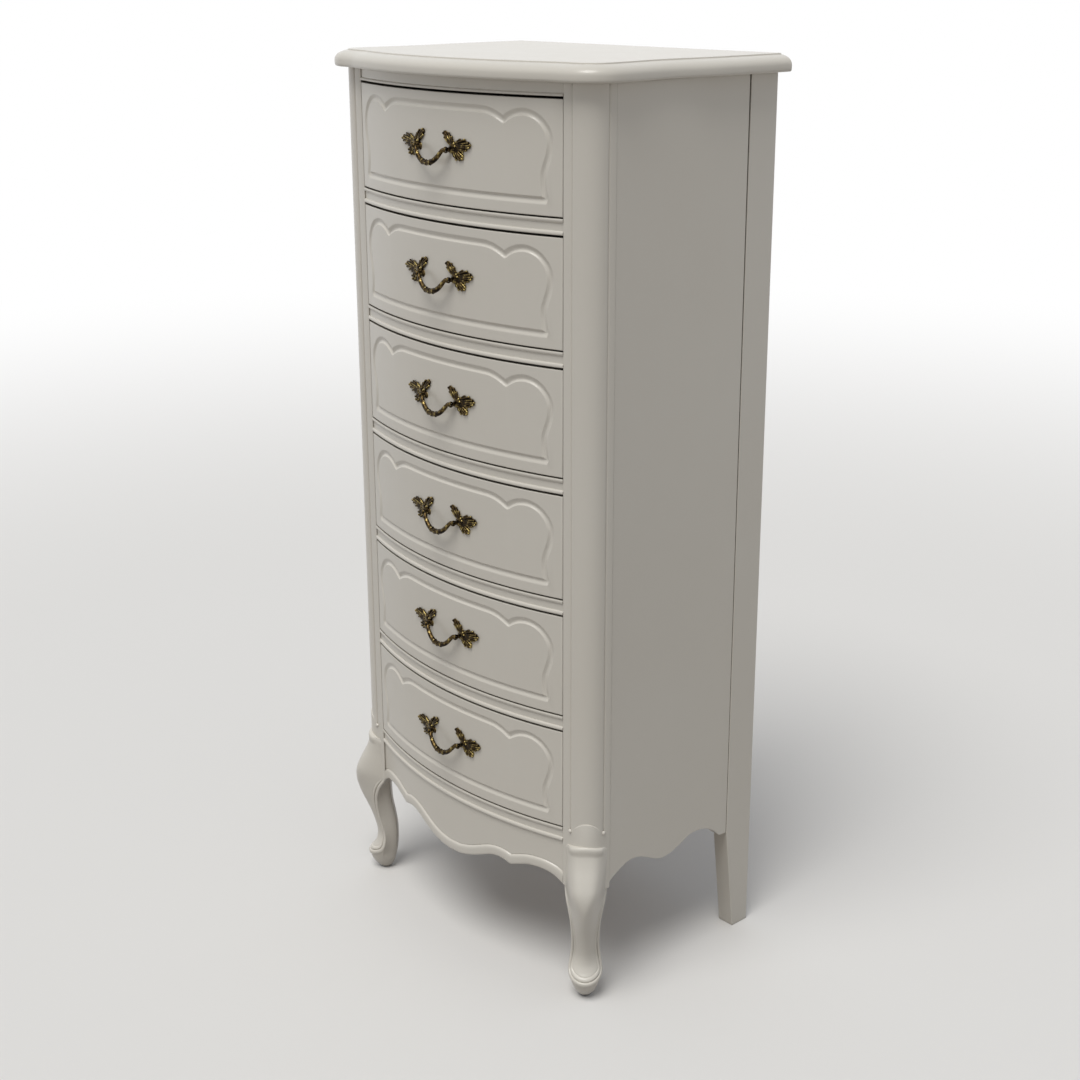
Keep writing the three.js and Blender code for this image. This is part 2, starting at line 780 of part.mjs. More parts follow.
// The bail hangs in a half oval and swells forwards; its frame stands on the pin axis
function bail() {
  const points = Array.from({ length: bailSteps + 1 }, (_, i) => {
    const turn = (i / bailSteps) * Math.PI;
    return new THREE.Vector3(
      eyeX * Math.cos(turn),
      -bailSwell * Math.sin(turn),
      -bailDrop * Math.sin(turn),
    );
  });
  const radius = bailWire / 2;
  const round = Array.from({ length: wireSides }, (_, i) => {
    const turn = (2 * Math.PI * i) / wireSides;
    return [radius * Math.cos(turn), radius * Math.sin(turn)];
  });
  const wire = new THREE.ExtrudeGeometry(shapeOf(round), {
    steps: bailSteps,
    bevelEnabled: false,
    extrudePath: new THREE.CatmullRomCurve3(points),
  });
  const pinStart = eyeX - radius;
  const pinEnd = eyeX + pinLength;
  const knuckle = new THREE.SphereGeometry(knuckleDiameter / 2, ballSides, ballRings);
  knuckle.translate(0, -bailSwell, -bailDrop);
  return geometryOf(join(
    solidOf(wire),
    solidOf(rod([pinStart, 0, 0], [pinEnd, 0, 0], pinDiameter)),
    solidOf(rod([-pinStart, 0, 0], [-pinEnd, 0, 0], pinDiameter)),
    solidOf(knuckle),
  ));
}

// The case
addPiece('top_board', topBoard(), paint());
addPair('front_post', frontPost(), paint);
addPair('rear_post', rearPost(), paint);
addPair('side_panel', sidePanel(), paint);

const railHalfWidth = halfOpening - fit;
const friezeBottom = caseTop - friezeHeight;
addPiece('frieze_rail', bowMoulding(friezeProfile(friezeBottom), railHalfWidth, railDepth), paint());
addPiece('bottom_rail', bowMoulding(railProfile(baseHeight - railHeight), railHalfWidth, railDepth), paint());
addPiece('apron', apron(), paint());

const backHalf = rearPostInner - fit;
const backBack = backFront + backThickness;
const backBottom = baseHeight - backDrop;
const backPanel = block(-backHalf, backHalf, backFront, backBack, backBottom, caseTop - fit);
addPiece('back_panel', backPanel, hardboard());
addPiece('back_rail_upper', backRail(caseTop - fit - backRailHeight), innerWood());
addPiece('back_rail_lower', backRail(baseHeight - boardThickness - fit - backRailHeight), innerWood());

// Drawers are counted from the top; each runs on its own dust board
for (let number = 1; number <= drawerCount; number += 1) {
  const level = drawerCount - number;
  const floor = openingBottom(level);
  addPiece(`dust_board_${number}`, dustBoard(level), innerWood());
  if (level > 0) {
    const profile = railProfile(floor - railHeight);
    addPiece(`drawer_rail_${number}`, bowMoulding(profile, railHalfWidth, railDepth), paint());
  }
  const drawer = new THREE.Group();
  drawer.position.z = floor;
  chest.add(drawer);
  addPiece(`drawer_${number}_front`, drawerFront(), paint(), drawer);
  addPiece(`drawer_${number}_box`, drawerBox(), innerWood(), drawer);
  addPiece(`drawer_${number}_bottom`, drawerBottom(), hardboard(), drawer);
  addPair(`drawer_${number}_rosette`, rosette(), brass, drawer);
  const pull = addPiece(`drawer_${number}_bail`, bail(), brass(), drawer);
  pull.position.set(0, eyeY, pullHeight);
}

export default chest;
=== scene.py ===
import math

import bmesh
import bpy
from mathutils import Euler, Matrix, Vector
from mathutils.geometry import delaunay_2d_cdt
from mathutils.kdtree import KDTree


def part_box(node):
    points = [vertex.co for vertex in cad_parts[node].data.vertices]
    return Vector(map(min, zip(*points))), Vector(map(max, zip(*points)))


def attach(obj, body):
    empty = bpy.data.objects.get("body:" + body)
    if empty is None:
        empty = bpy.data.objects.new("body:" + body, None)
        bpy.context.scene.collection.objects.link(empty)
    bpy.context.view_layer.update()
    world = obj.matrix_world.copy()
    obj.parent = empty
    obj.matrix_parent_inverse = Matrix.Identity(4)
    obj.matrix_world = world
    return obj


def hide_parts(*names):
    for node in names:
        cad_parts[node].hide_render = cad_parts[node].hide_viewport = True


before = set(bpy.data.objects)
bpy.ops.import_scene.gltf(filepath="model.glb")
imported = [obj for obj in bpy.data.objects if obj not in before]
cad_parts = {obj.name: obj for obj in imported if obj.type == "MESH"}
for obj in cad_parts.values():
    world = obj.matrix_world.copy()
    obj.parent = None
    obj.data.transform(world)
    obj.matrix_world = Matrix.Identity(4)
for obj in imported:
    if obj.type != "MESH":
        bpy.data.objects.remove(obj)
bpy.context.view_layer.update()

# The view: a standing viewer's place to the right of the chest, looking slightly down at it, so that
# the bowed front and the right side both show. Distances in metres from the foot of the chest.
viewer_place = (1.794, -1.577, 1.448)
viewer_turn = math.radians(48.58)
viewer_tilt = math.radians(17.51)
viewer_lean = math.radians(0.2)
lens_length = 55.6
lens_shift = -0.048


def add_object(name, data, place=(0, 0, 0)):
    thing = bpy.data.objects.new(name, data)
    thing.location = place
    bpy.context.scene.collection.objects.link(thing)
    return thing


lens = bpy.data.cameras.new("camera")
lens.lens = lens_length
lens.shift_y = lens_shift
camera = add_object("camera", lens, viewer_place)
camera.rotation_euler = (math.pi / 2 - viewer_tilt, viewer_lean, viewer_turn)
bpy.context.scene.camera = camera

# The studio: a pale seamless floor that runs out into white, one broad soft light high up before the front,
# and an even, slightly cool sky. The floor looks pale but throws little light back, as a wooden one does.
floor_reach = 40.0
floor_seen = (0.80, 0.79, 0.775, 1)
floor_thrown_back = (0.30, 0.275, 0.25, 1)
floor_fade_start, floor_fade_end = 1.6, 5.5
floor_roughness, floor_gloss = 0.6, 0.25
sky_colour = (0.93, 0.96, 1.0, 1)
sky_strength = 0.37
key_place = (0, 0, 3)
key_direction = (-0.12, 0.41, -0.90)
key_strength = 1.87
key_softness = math.radians(34)
key_colour = (1.0, 0.985, 0.955)


def wire(source, output, target, socket):
    source.id_data.links.new(source.outputs[output], target.inputs[socket])


def add_node(tree, kind, sockets):
    """A node with those of its sockets set that nothing is wired to."""
    node = tree.nodes.new(kind)
    for socket, value in sockets.items():
        node.inputs[socket].default_value = value
    return node


def new_finish(name):
    finish = bpy.data.materials.new(name)
    finish.use_nodes = True
    return finish, finish.node_tree, finish.node_tree.nodes["Principled BSDF"]


def wire_seen_directly(tree, target, socket):
    """One for what the camera or a mirror sees, and nothing for light that falls on the chest."""
    ray = tree.nodes.new("ShaderNodeLightPath")
    source, output = ray, "Is Camera Ray"
    for kind in ("Is Glossy Ray", "Is Transmission Ray"):
        either = tree.nodes.new("ShaderNodeMath")
        either.operation = "MAXIMUM"
        wire(source, output, either, 0)
        wire(ray, kind, either, 1)
        source, output = either, "Value"
    wire(source, output, target, socket)


floor_mesh = bpy.data.meshes.new("studio_floor")
floor_corners = [(-floor_reach, -floor_reach, 0), (floor_reach, -floor_reach, 0),
                 (floor_reach, floor_reach, 0), (-floor_reach, floor_reach, 0)]
floor_mesh.from_pydata(floor_corners, [], [(0, 1, 2, 3)])
studio_floor = add_object("studio_floor", floor_mesh)

floor_finish, tree, floor_shader = new_finish("pale_floor")
floor_shader.inputs["Roughness"].default_value = floor_roughness
floor_shader.inputs["Specular IOR Level"].default_value = floor_gloss
floor_choice = add_node(tree, "ShaderNodeMix", {6: floor_thrown_back, 7: floor_seen})
floor_choice.data_type = "RGBA"
wire_seen_directly(tree, floor_choice, "Factor")
wire(floor_choice, 2, floor_shader, "Base Color")
spot = tree.nodes.new("ShaderNodeTexCoord")
distance = tree.nodes.new("ShaderNodeVectorMath")
distance.operation = "LENGTH"
wire(spot, "Object", distance, 0)
fade = add_node(tree, "ShaderNodeMapRange", {"From Min": floor_fade_start, "From Max": floor_fade_end})
fade.interpolation_type = "SMOOTHSTEP"
wire(distance, "Value", fade, "Value")
seen_fade = tree.nodes.new("ShaderNodeMath")
seen_fade.operation = "MULTIPLY"
wire(fade, "Result", seen_fade, 0)
wire_seen_directly(tree, seen_fade, 1)
white_out = add_node(tree, "ShaderNodeEmission", {"Strength": 1.0})
floor_mix = tree.nodes.new("ShaderNodeMixShader")
wire(seen_fade, "Value", floor_mix, "Fac")
wire(floor_shader, "BSDF", floor_mix, 1)
wire(white_out, "Emission", floor_mix, 2)
wire(floor_mix, "Shader", tree.nodes["Material Output"], "Surface")
floor_mesh.materials.append(floor_finish)

sky = bpy.data.worlds.new("soft_sky")
sky.use_nodes = True
bpy.context.scene.world = sky
tree = sky.node_tree
sky_light = tree.nodes["Background"]
sky_light.inputs["Color"].default_value = sky_colour
sky_light.inputs["Strength"].default_value = sky_strength
white_behind = add_node(tree, "ShaderNodeBackground", {"Color": (1, 1, 1, 1), "Strength": 1.0})
sky_mix = tree.nodes.new("ShaderNodeMixShader")
wire_seen_directly(tree, sky_mix, "Fac")
wire(sky_light, "Background", sky_mix, 1)
wire(white_behind, "Background", sky_mix, 2)
wire(sky_mix, "Shader", tree.nodes["World Output"], "Surface")

key_light = bpy.data.lights.new("key_light", "SUN")
key_light.energy = key_strength
key_light.angle = key_softness
key_light.color = key_colour
key_holder = add_object("key_light", key_light, key_place)
key_holder.rotation_euler = Vector(key_direction).to_track_quat("-Z", "Y").to_euler()

bpy.context.scene.view_settings.view_transform = "Standard"

# The paint: several sprayed and rubbed-down coats of antique white satin lacquer over wood. It has a faint
# orange peel, slight cloudiness between coats and a sheen that varies with the rubbing. Painted shade darkens
# it in gaps, creases and inner corners.
paint_light = (0.668, 0.638, 0.576, 1)
paint_warm = (0.652, 0.617, 0.551, 1)
# Scale and detail of the textures
cloud_noise, rubbing_noise, peel_noise = (3.0, 4), (34, 3), (420.0, 2)
cloud_steps = [(0.32, paint_warm), (0.66, paint_light)]
paint_sheen = (0, 1, 0.30, 0.42)
coat_weight, coat_roughness = 0.35, 0.17
peel_strength, peel_depth = 0.25, 0.0002
# Painted shade: how far the darkening near other surfaces reaches, its samples, then its steps from dark to
# none
painted_shade_reach, painted_shade_samples = 0.010, 8
painted_shade_steps = [(0.08, (0.06, 0.052, 0.045, 1)), (0.34, (0.55, 0.53, 0.50, 1)), (0.66, (1, 1, 1, 1))]


def noise(tree, place, output, scale, detail):
    texture = add_node(tree, "ShaderNodeTexNoise", {"Scale": scale, "Detail": detail})
    wire(place, output, texture, "Vector")
    return texture


def colour_ramp(tree, source, output, steps):
    """Colours that follow a texture, through steps of its value and the colour there."""
    ramp = tree.nodes.new("ShaderNodeValToRGB")
    elements = ramp.color_ramp.elements
    for element, (position, colour) in zip(elements, (steps[0], steps[-1])):
        element.position = position
        element.color = colour
    for position, colour in steps[1:-1]:
        elements.new(position).color = colour
    wire(source, output, ramp, "Fac")
    return ramp


def vary_sheen(tree, source, output, ends, shader):
    """Roughness that follows a texture; the ends are two of its values and the roughness at each."""
    names = ("From Min", "From Max", "To Min", "To Max")
    sheen = add_node(tree, "ShaderNodeMapRange", dict(zip(names, ends)))
    wire(source, output, sheen, "Value")
    wire(sheen, "Result", shader, "Roughness")


def raise_surface(tree, texture, strength, depth, shader):
    relief = add_node(tree, "ShaderNodeBump", {"Strength": strength, "Distance": depth})
    wire(texture, "Fac", relief, "Height")
    wire(relief, "Normal", shader, "Normal")


def white_lacquer():
    finish, tree, shader = new_finish("white_lacquer")
    shader.inputs["Coat Weight"].default_value = coat_weight
    shader.inputs["Coat Roughness"].default_value = coat_roughness
    place = tree.nodes.new("ShaderNodeTexCoord")
    clouds = noise(tree, place, "Object", *cloud_noise)
    tint = colour_ramp(tree, clouds, "Fac", cloud_steps)
    # Painted shade: the tint is multiplied darker where other surfaces lie close, in gaps, creases and inner
    # corners
    closeness = add_node(tree, "ShaderNodeAmbientOcclusion", {"Distance": painted_shade_reach})
    closeness.samples = painted_shade_samples
    painted_shade = colour_ramp(tree, closeness, "AO", painted_shade_steps)
    shaded_tint = add_node(tree, "ShaderNodeMix", {"Factor": 1})
    shaded_tint.data_type = "RGBA"
    shaded_tint.blend_type = "MULTIPLY"
    wire(tint, "Color", shaded_tint, 6)
    wire(painted_shade, "Color", shaded_tint, 7)
    wire(shaded_tint, 2, shader, "Base Color")
    rubbing = noise(tree, place, "Object", *rubbing_noise)
    vary_sheen(tree, rubbing, "Fac", paint_sheen, shader)
    peel = noise(tree, place, "Object", *peel_noise)
    raise_surface(tree, peel, peel_strength, peel_depth, shader)
    return finish


lacquer = white_lacquer()

# Top board: one thick solid board that overhangs the case, bowed and softly shaped round the columns. Its
# edge is moulded: a fine step round the flat field, a long fall and a rounded nose. It is screwed from below.
case_depth = 0.346
front_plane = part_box("rear_post_right")[1].y - case_depth
half_opening = 0.216
bow_depth = 0.0365
column_x, column_y = 0.2335, 0.030
column_reach_x, column_reach_y = 0.034, 0.030
top_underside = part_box("top_board")[0].z
top_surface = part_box("top_board")[1].z
top_front_overhang = 0.019
top_side_overhang = 0.0202
top_side_dip, top_dip_share = 0.008, 0.62
nose_height = 0.0135
# Points closer than this are one, and edges bent by more degrees than this stay crisp
same_place, paint_crisp = 1e-6, 33


def bow(x):
    """The plane of the bowed front at a place across the chest."""
    return front_plane - bow_depth * (1 - (x / half_opening) ** 2)


def quarter_turns(steps):
    return [math.pi / 2 * i / steps for i in range(steps + 1)]


def full_turns(count):
    return [2 * math.pi * k / count for k in range(count)]


def add_skin(mesh, rings, looped=False):
    """A closed skin over rings of points; its ends are capped unless the last ring meets the first."""
    rows = [[mesh.verts.new(point) for point in ring] for ring in rings]
    spans = len(rows) if looped else len(rows) - 1
    count = len(rows[0])
    for i in range(spans):
        here, there = rows[i], rows[(i + 1) % len(rows)]
        for k in range(count):
            mesh.faces.new([here[k], here[(k + 1) % count], there[(k + 1) % count], there[k]])
    if not looped:
        mesh.faces.new(rows[0])
        mesh.faces.new(rows[-1])
    return rows


def painted_mesh(name, mesh, crisp=paint_crisp):
    bmesh.ops.remove_doubles(mesh, verts=mesh.verts, dist=same_place)
    bmesh.ops.recalc_face_normals(mesh, faces=mesh.faces)
    data = bpy.data.meshes.new(name)
    mesh.to_mesh(data)
    mesh.free()
    data.polygons.foreach_set("use_smooth", [True] * len(data.polygons))
    data.set_sharp_from_angle(angle=math.radians(crisp))
    data.materials.append(lacquer)
    return data


def skin(name, rings):
    mesh = bmesh.new()
    add_skin(mesh, rings)
    return painted_mesh(name, mesh)


def set_in_place(data, body, node, name=None, place=(0, 0, 0)):
    piece = add_object(name or data.name, data, place)
    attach(piece, body)
    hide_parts(node)


def set_on_case(data, node):
    set_in_place(data, "case", node)


def top_outline():
    """Places round the top's outer edge and the way outward at each, from the middle of the front."""
    right = []
    front_steps, corner_steps, side_steps = 26, 16, 28
    for i in range(front_steps):
        x = half_opening * i / front_steps
        slope = 2 * bow_depth * x / half_opening ** 2
        right.append((x, bow(x) - top_front_overhang, slope, -1))
    reach_x = column_reach_x + top_side_overhang
    reach_y = column_reach_y + top_front_overhang
    for turn in quarter_turns(corner_steps):
        across, ahead = math.sin(turn), math.cos(turn)
        right.append((column_x + reach_x * across, front_plane + column_y - reach_y * ahead,
                      across / reach_x, -ahead / reach_y))
    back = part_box("top_board")[1].y
    run = (back - front_plane - column_y) * top_dip_share
    for i in range(1, side_steps + 1):
        turn = 2 * math.pi * i / side_steps
        x = column_x + reach_x - top_side_dip * (1 - math.cos(turn)) / 2
        slope = top_side_dip * math.pi * math.sin(turn) / run
        right.append((x, front_plane + column_y + run * i / side_steps, 1, slope))
    right.append((column_x + reach_x, back, 1, 0))
    left = [(-x, y, -nx, ny) for x, y, nx, ny in reversed(right[1:])]
    return right + left


def moulded_top():
    nose = top_surface - nose_height
    edge = [(0.0036, top_underside), (0.0016, top_underside + 0.0006), (0.0004, top_underside + 0.002),
            (0, top_underside + 0.004), (0, nose - 0.001), (0.0005, nose + 0.0015), (0.002, nose + 0.0042),
            (0.0045, nose + 0.0068), (0.008, nose + 0.0088), (0.012, nose + 0.0103), (0.016, nose + 0.0113),
            (0.0186, nose + 0.0118), (0.0192, nose + 0.0114), (0.0197, top_surface - 0.0004),
            (0.0203, top_surface)]
    rings = []
    for inset, height in edge:
        ring = []
        for x, y, nx, ny in top_outline():
            length = math.hypot(nx, ny)
            ring.append((x - inset * nx / length, y - inset * ny / length, height))
        rings.append(ring)
    return skin("moulded_top", rings)


set_on_case(moulded_top(), "top_board")

# Front posts: each is one solid stick. The upper part is a post with a quarter column between two quirks on
# its outer corner. Below a collar with an arched top it swells into a carved cabriole leg with a raised lip.
post_depth = 0.0445
case_half_width = 0.2675
case_top = top_underside
quirk_width, quirk_depth = 0.0034, 0.0018
quirk_near_wall, quirk_far_wall = quirk_width * 0.42, quirk_width * 0.58
block_bottom = 0.176
collar_bottom, collar_shoulder, arch_rise = 0.232, 0.268, 0.0175
collar_proud, collar_root = 0.0016, 0.008
arch_fullness, collar_fullness = 0.9, 1.4
nub_radius, nub_sink = 0.0033, 0.0006
arris = 0.0006
quirk_far_ease, quirk_near_ease, quirk_near_fall = arris * 0.5, arris * 0.3, arris * 0.4
shoulder_fall, shoulder_start, leg_top = 0.0083, 0.205, 0.250
leg_clearance, ledge_share = 0.0002, 0.66
flank_steps, face_steps = 12, 84
column_steps = 26
post_crisp = 38
hands = ((1, "right"), (-1, "left"))


def in_metres(places):
    return [(a / 1000, b / 1000) for a, b in places]


# Places on the leg, in millimetres: height, then distance out along the diagonal from the column's centre
knee_line = in_metres([(0, 22.8), (1.5, 25.2), (4, 28.2), (8, 32.6), (12.5, 36.4), (17.5, 39.4),
                       (22.5, 41.4), (31, 43.4), (37, 40.9), (45, 34.7), (55, 30.4), (69, 29.5),
                       (85, 32.7), (103, 38.6), (121, 46.3), (138, 54.1), (156, 59.9), (172, 61.3),
                       (186, 59.1), (200, 53.2), (218, 44), (230, 39.1), (239.5, 36.4), (250, 35)])
arris_line = in_metres([(0, 17), (12.5, 18.5), (22.5, 19.2), (31, 18.8), (40, 16.3), (51, 13.2),
                        (64, 12.7), (82, 16.5), (102, 21.4), (123.5, 24), (141, 23.2), (157.5, 18.2),
                        (172, 10), (186, 6), (250, 6)])
back_line = in_metres([(0, 11.2), (1.5, 8.8), (5, 5.5), (12.5, 1.8), (22, -1), (34, -3.2), (54, -4.8),
                       (78, -4.6), (102, -1.3), (120, 2), (134, 3.4), (156, 3.6), (186, 0), (250, 0)])
# Half the breadth of the leg at heights
width_line = in_metres([(0, 6.2), (1.5, 8.4), (5.2, 11.2), (12.5, 15.8), (20.5, 19.1), (28.5, 21.6),
                        (36, 23.6), (43, 24), (52, 23.2), (62, 22), (75, 20.9), (97, 20.3), (127, 22.2),
                        (145, 25.2), (160, 28.5), (176, 30.8), (190, 31.8), (215, 33.5), (235, 35),
                        (245, 35.5), (250, 34)])
# How far the flank of the carved leg has come out from its back to its arris, at shares of the half width
flank_line = [(0.0, 0.0), (0.25, 0.0), (0.45, 0.04), (0.585, 0.33), (0.77, 0.66), (1.0, 1.0)]
# Heights between which the round foot takes on its carved flank and face, and the shin fills out to the knee
flank_carving, face_carving, knee_filling = (0.016, 0.036), (0.034, 0.072), (0.15, 0.19)
shin_fullness, knee_fullness = 1.8, 1.4
# The face is trimmed a little towards the apron, between these heights
front_trim, trim_span = 0.10, (0.165, 0.235)
# The rings that the leg is built of: lowest height, step and number; they lie closest where it is carved
ring_runs = [(0.0, 0.0008, 2), (0.0016, 0.0006, 90), (0.0565, 0.0013, 141), (0.2403, 0.0006, 16),
             (leg_top, 0, 1)]
# The roll under the collar: its middle, reach above and below, how proud it stands and where its ends die out
roll_height, roll_half, roll_fade, roll_proud = 0.2456, 0.0042, 0.0105, 0.0021
roll_ends = (0.60, 0.80)
# The lip's edge round the toe: the turn from the arris towards the middle, and the height
toe_edge = [(0.0, 0.0420), (0.10, 0.0372), (0.30, 0.0330), (0.66, 0.0291), (1.17, 0.0265),
            (math.pi / 2, 0.0258)]
# The lip at heights: how broad its outer roll is and how far the roll stands out
lip_breadth = in_metres([(25, 8), (34, 6.8), (45, 6), (60, 5.5), (90, 5.2), (120, 5.4), (150, 5.6),
                         (166, 4.4), (180, 1.5)])
lip_boldness = in_metres([(25, 1.5), (40, 1.4), (60, 1.3), (140, 1.3), (165, 1), (180, 0)])
lip_top, lip_end = 0.180, 0.182
lip_places, toe_places = 560, 160
# Across the lip: how square its outer roll is, where its slimmer inner roll ends, and the two grooves
lip_squareness, lip_rounding = 2.6, 0.6
inner_roll_end, inner_roll_share = 1.85, 0.5
lip_groove_widths, lip_groove_depths = (0.0007, 0.0006), (0.75, 0.4)


def along(line, place):
    """The value of a line of (place, value) pairs at a place, on a smooth curve through them."""
    last = len(line) - 1
    i = max(k for k in range(last) if line[k][0] <= place or k == 0)
    (h0, v0), (h1, v1) = line[i], line[i + 1]

    def slope(k):
        before, after = line[max(k - 1, 0)], line[min(k + 1, last)]
        return (after[1] - before[1]) / (after[0] - before[0])

    span = h1 - h0
    t = min(max((place - h0) / span, 0), 1)
    start = (1 + 2 * t) * (1 - t) ** 2 * v0 + t * (1 - t) ** 2 * span * slope(i)
    end = t * t * (3 - 2 * t) * v1 + t * t * (t - 1) * span * slope(i + 1)
    return start + end


def straight_along(line, place):
    """The value of a line of (place, value) pairs at a place, on straight lines between them."""
    pairs = zip(line, line[1:])
    return next(va + (vb - va) * (place - a) / (b - a) for (a, va), (b, vb) in pairs if place <= b)


def eased(place, start, end):
    """Nothing before the start, one after the end, and a smooth rise between."""
    t = min(max((place - start) / (end - start), 0), 1)
    return t * t * (3 - 2 * t)


class LegLevel:
    """The outline of the leg at one height; side is 1 for the right-hand leg and -1 for the left."""

    def __init__(self, height, side):
        self.height, self.side = height, side
        self.front, self.edge = along(knee_line, height), along(arris_line, height)
        self.back, self.width = along(back_line, height), along(width_line, height)
        self.flank_carved, self.face_carved = eased(height, *flank_carving), eased(height, *face_carving)
        self.fullness = shin_fullness + knee_fullness * eased(height, *knee_filling)

    def place(self, out, across):
        """A point out along the post's diagonal and across it, kept within the post's square."""
        if across < 0:
            across *= 1 - front_trim * eased(self.height, *trim_span)
        x = max(column_x + (out + across) / math.sqrt(2), half_opening)
        y = min(column_y + (across - out) / math.sqrt(2), post_depth - leg_clearance)
        fall = shoulder_fall * eased(self.height, shoulder_start, leg_top) * (across / self.width) ** 2
        return Vector((self.side * x, front_plane + y, self.height - fall))

    def flank(self, share):
        """How far out the side of the leg lies, at a share of its half width."""
        round_out = self.edge - (self.edge - self.back) * math.sqrt(1 - share * share)
        flat_out = self.back + (self.edge - self.back) * straight_along(flank_line, share)
        return round_out + (flat_out - round_out) * self.flank_carved

    def face(self, turn):
        """How far out the face of the leg lies, at a turn from its arris towards the middle."""
        round_share = math.sin(turn)
        flat_share = 1 - abs(math.cos(turn)) ** self.fullness
        share = round_share + (flat_share - round_share) * self.face_carved
        return self.edge + (self.front - self.edge) * share


def lip_edge(side):
    """Places down both edges of the leg's face and round its toe, with the height of each pair."""
    run = [(0, lip_top - (lip_top - toe_edge[0][1]) * i / lip_places) for i in range(lip_places)]
    run += [(turn, along(toe_edge, turn)) for turn in quarter_turns(toe_places)]
    edge = []
    for turn, height in run:
        level = LegLevel(height, side)
        out, across = level.face(turn), level.width * math.cos(turn)
        edge.append((level.place(out, across), level.place(out, -across), height))
    return edge


def lip_relief(distance, height):
    """A broad roll along the edge, a fine groove, a slimmer roll inside it and a last hair line."""
    broad, bold = along(lip_breadth, height), along(lip_boldness, height)
    share = distance / broad
    if share < 1:
        rise = bold * (1 - abs(2 * share - 1) ** lip_squareness) ** lip_rounding
    elif share < inner_roll_end:
        rise = inner_roll_share * bold * math.sin(math.pi * (share - 1) / (inner_roll_end - 1))
    else:
        rise = 0.0
    first = (distance - broad) / lip_groove_widths[0]
    second = (distance - inner_roll_end * broad) / lip_groove_widths[1]
    grooves = [depth * math.exp(-away * away) for depth, away in zip(lip_groove_depths, (first, second))]
    return rise - bold * sum(grooves)


def roll_relief(above, across):
    """The roll under the collar: how proud it stands above or below its middle and towards its ends."""
    place = above / roll_half
    if place > 0:
        swell = math.sqrt(1 - place * place)
    else:
        swell = (1 - (place * roll_half / roll_fade) ** 2) ** 2
    return roll_proud * swell * (1 - eased(across, *roll_ends))


def add_leg(mesh, side):
    """The carved leg: rings of points up its height, then the lip and the roll raised on its face."""
    heights = [start + step * i for start, step, count in ring_runs for i in range(count)]
    levels = [LegLevel(height, side) for height in heights]
    turns = quarter_turns(face_steps)
    shares = [math.sin(turn) for turn in quarter_turns(flank_steps)[:-1]]
    rings = []
    for level in levels:
        half = [(level.flank(share), level.width * share) for share in shares]
        half += [(level.face(turn), level.width * math.cos(turn)) for turn in turns]
        outline = half + [(out, -across) for out, across in reversed(half[1:-1])]
        rings.append([level.place(out, across) for out, across in outline])
    rings.append([level.place(out * ledge_share, across * ledge_share) for out, across in outline])
    rows = add_skin(mesh, rings)
    bmesh.ops.recalc_face_normals(mesh, faces=mesh.faces)
    mesh.normal_update()

    edge = lip_edge(side)
    finder = KDTree(2 * len(edge))
    for i, (one, other, _) in enumerate(edge):
        finder.insert(one, 2 * i)
        finder.insert(other, 2 * i + 1)
    finder.balance()
    count = len(rings[0])
    moves = []
    for level, row in zip(levels, rows):
        for i, turn in enumerate(turns):
            first = flank_steps + i
            raised = 0.0
            if -roll_fade < level.height - roll_height < roll_half:
                raised = roll_relief(level.height - roll_height, math.cos(turn))
            elif level.height < lip_end and level.height > along(toe_edge, turn):
                _, index, distance = finder.find(row[first].co)
                raised = lip_relief(distance, edge[index // 2][2])
            if raised:
                moves.extend((row[k], row[k].normal * raised) for k in {first, (count - first) % count})
    for vert, move in moves:
        vert.co += move


def quarter_column():
    """Places round the column and the way out at each, from the front quirk to the side one."""
    places = []
    for turn in quarter_turns(column_steps):
        across, ahead = math.sin(turn), math.cos(turn)
        place = Vector((column_x + column_reach_x * across, column_y - column_reach_y * ahead))
        places.append((place, Vector((across, -ahead))))
    return places


def add_post_shaft(mesh, side):
    """The square of the post: plain down to the leg, and grooved by two quirks above the collar's nubs."""
    inner, outer = column_x - quirk_width, column_y + quirk_width
    column = [tuple(place) for place, _ in quarter_column()]
    front_flat = [(half_opening, arris), (half_opening + arris, 0)]
    back_flats = [(case_half_width, post_depth - arris), (case_half_width - arris, post_depth),
                  (half_opening, post_depth)]
    front_quirk = [(inner - arris, 0), (inner, quirk_far_ease), (inner + quirk_near_wall, quirk_depth),
                   (inner + quirk_far_wall, quirk_depth), (column_x - quirk_near_ease, quirk_near_fall)]
    side_quirk = [(case_half_width - quirk_near_fall, column_y + quirk_near_ease),
                  (case_half_width - quirk_depth, column_y + quirk_near_wall),
                  (case_half_width - quirk_depth, column_y + quirk_far_wall),
                  (case_half_width - quirk_far_ease, outer), (case_half_width, outer + arris)]
    plain = front_flat + column + back_flats
    quirked = front_flat + front_quirk + column[1:-1] + side_quirk + back_flats
    for plan, low, high in ((plain, block_bottom, collar_shoulder), (quirked, collar_shoulder, case_top)):
        add_skin(mesh, [[(side * x, front_plane + y, z) for x, y in plan] for z in (low, high)])


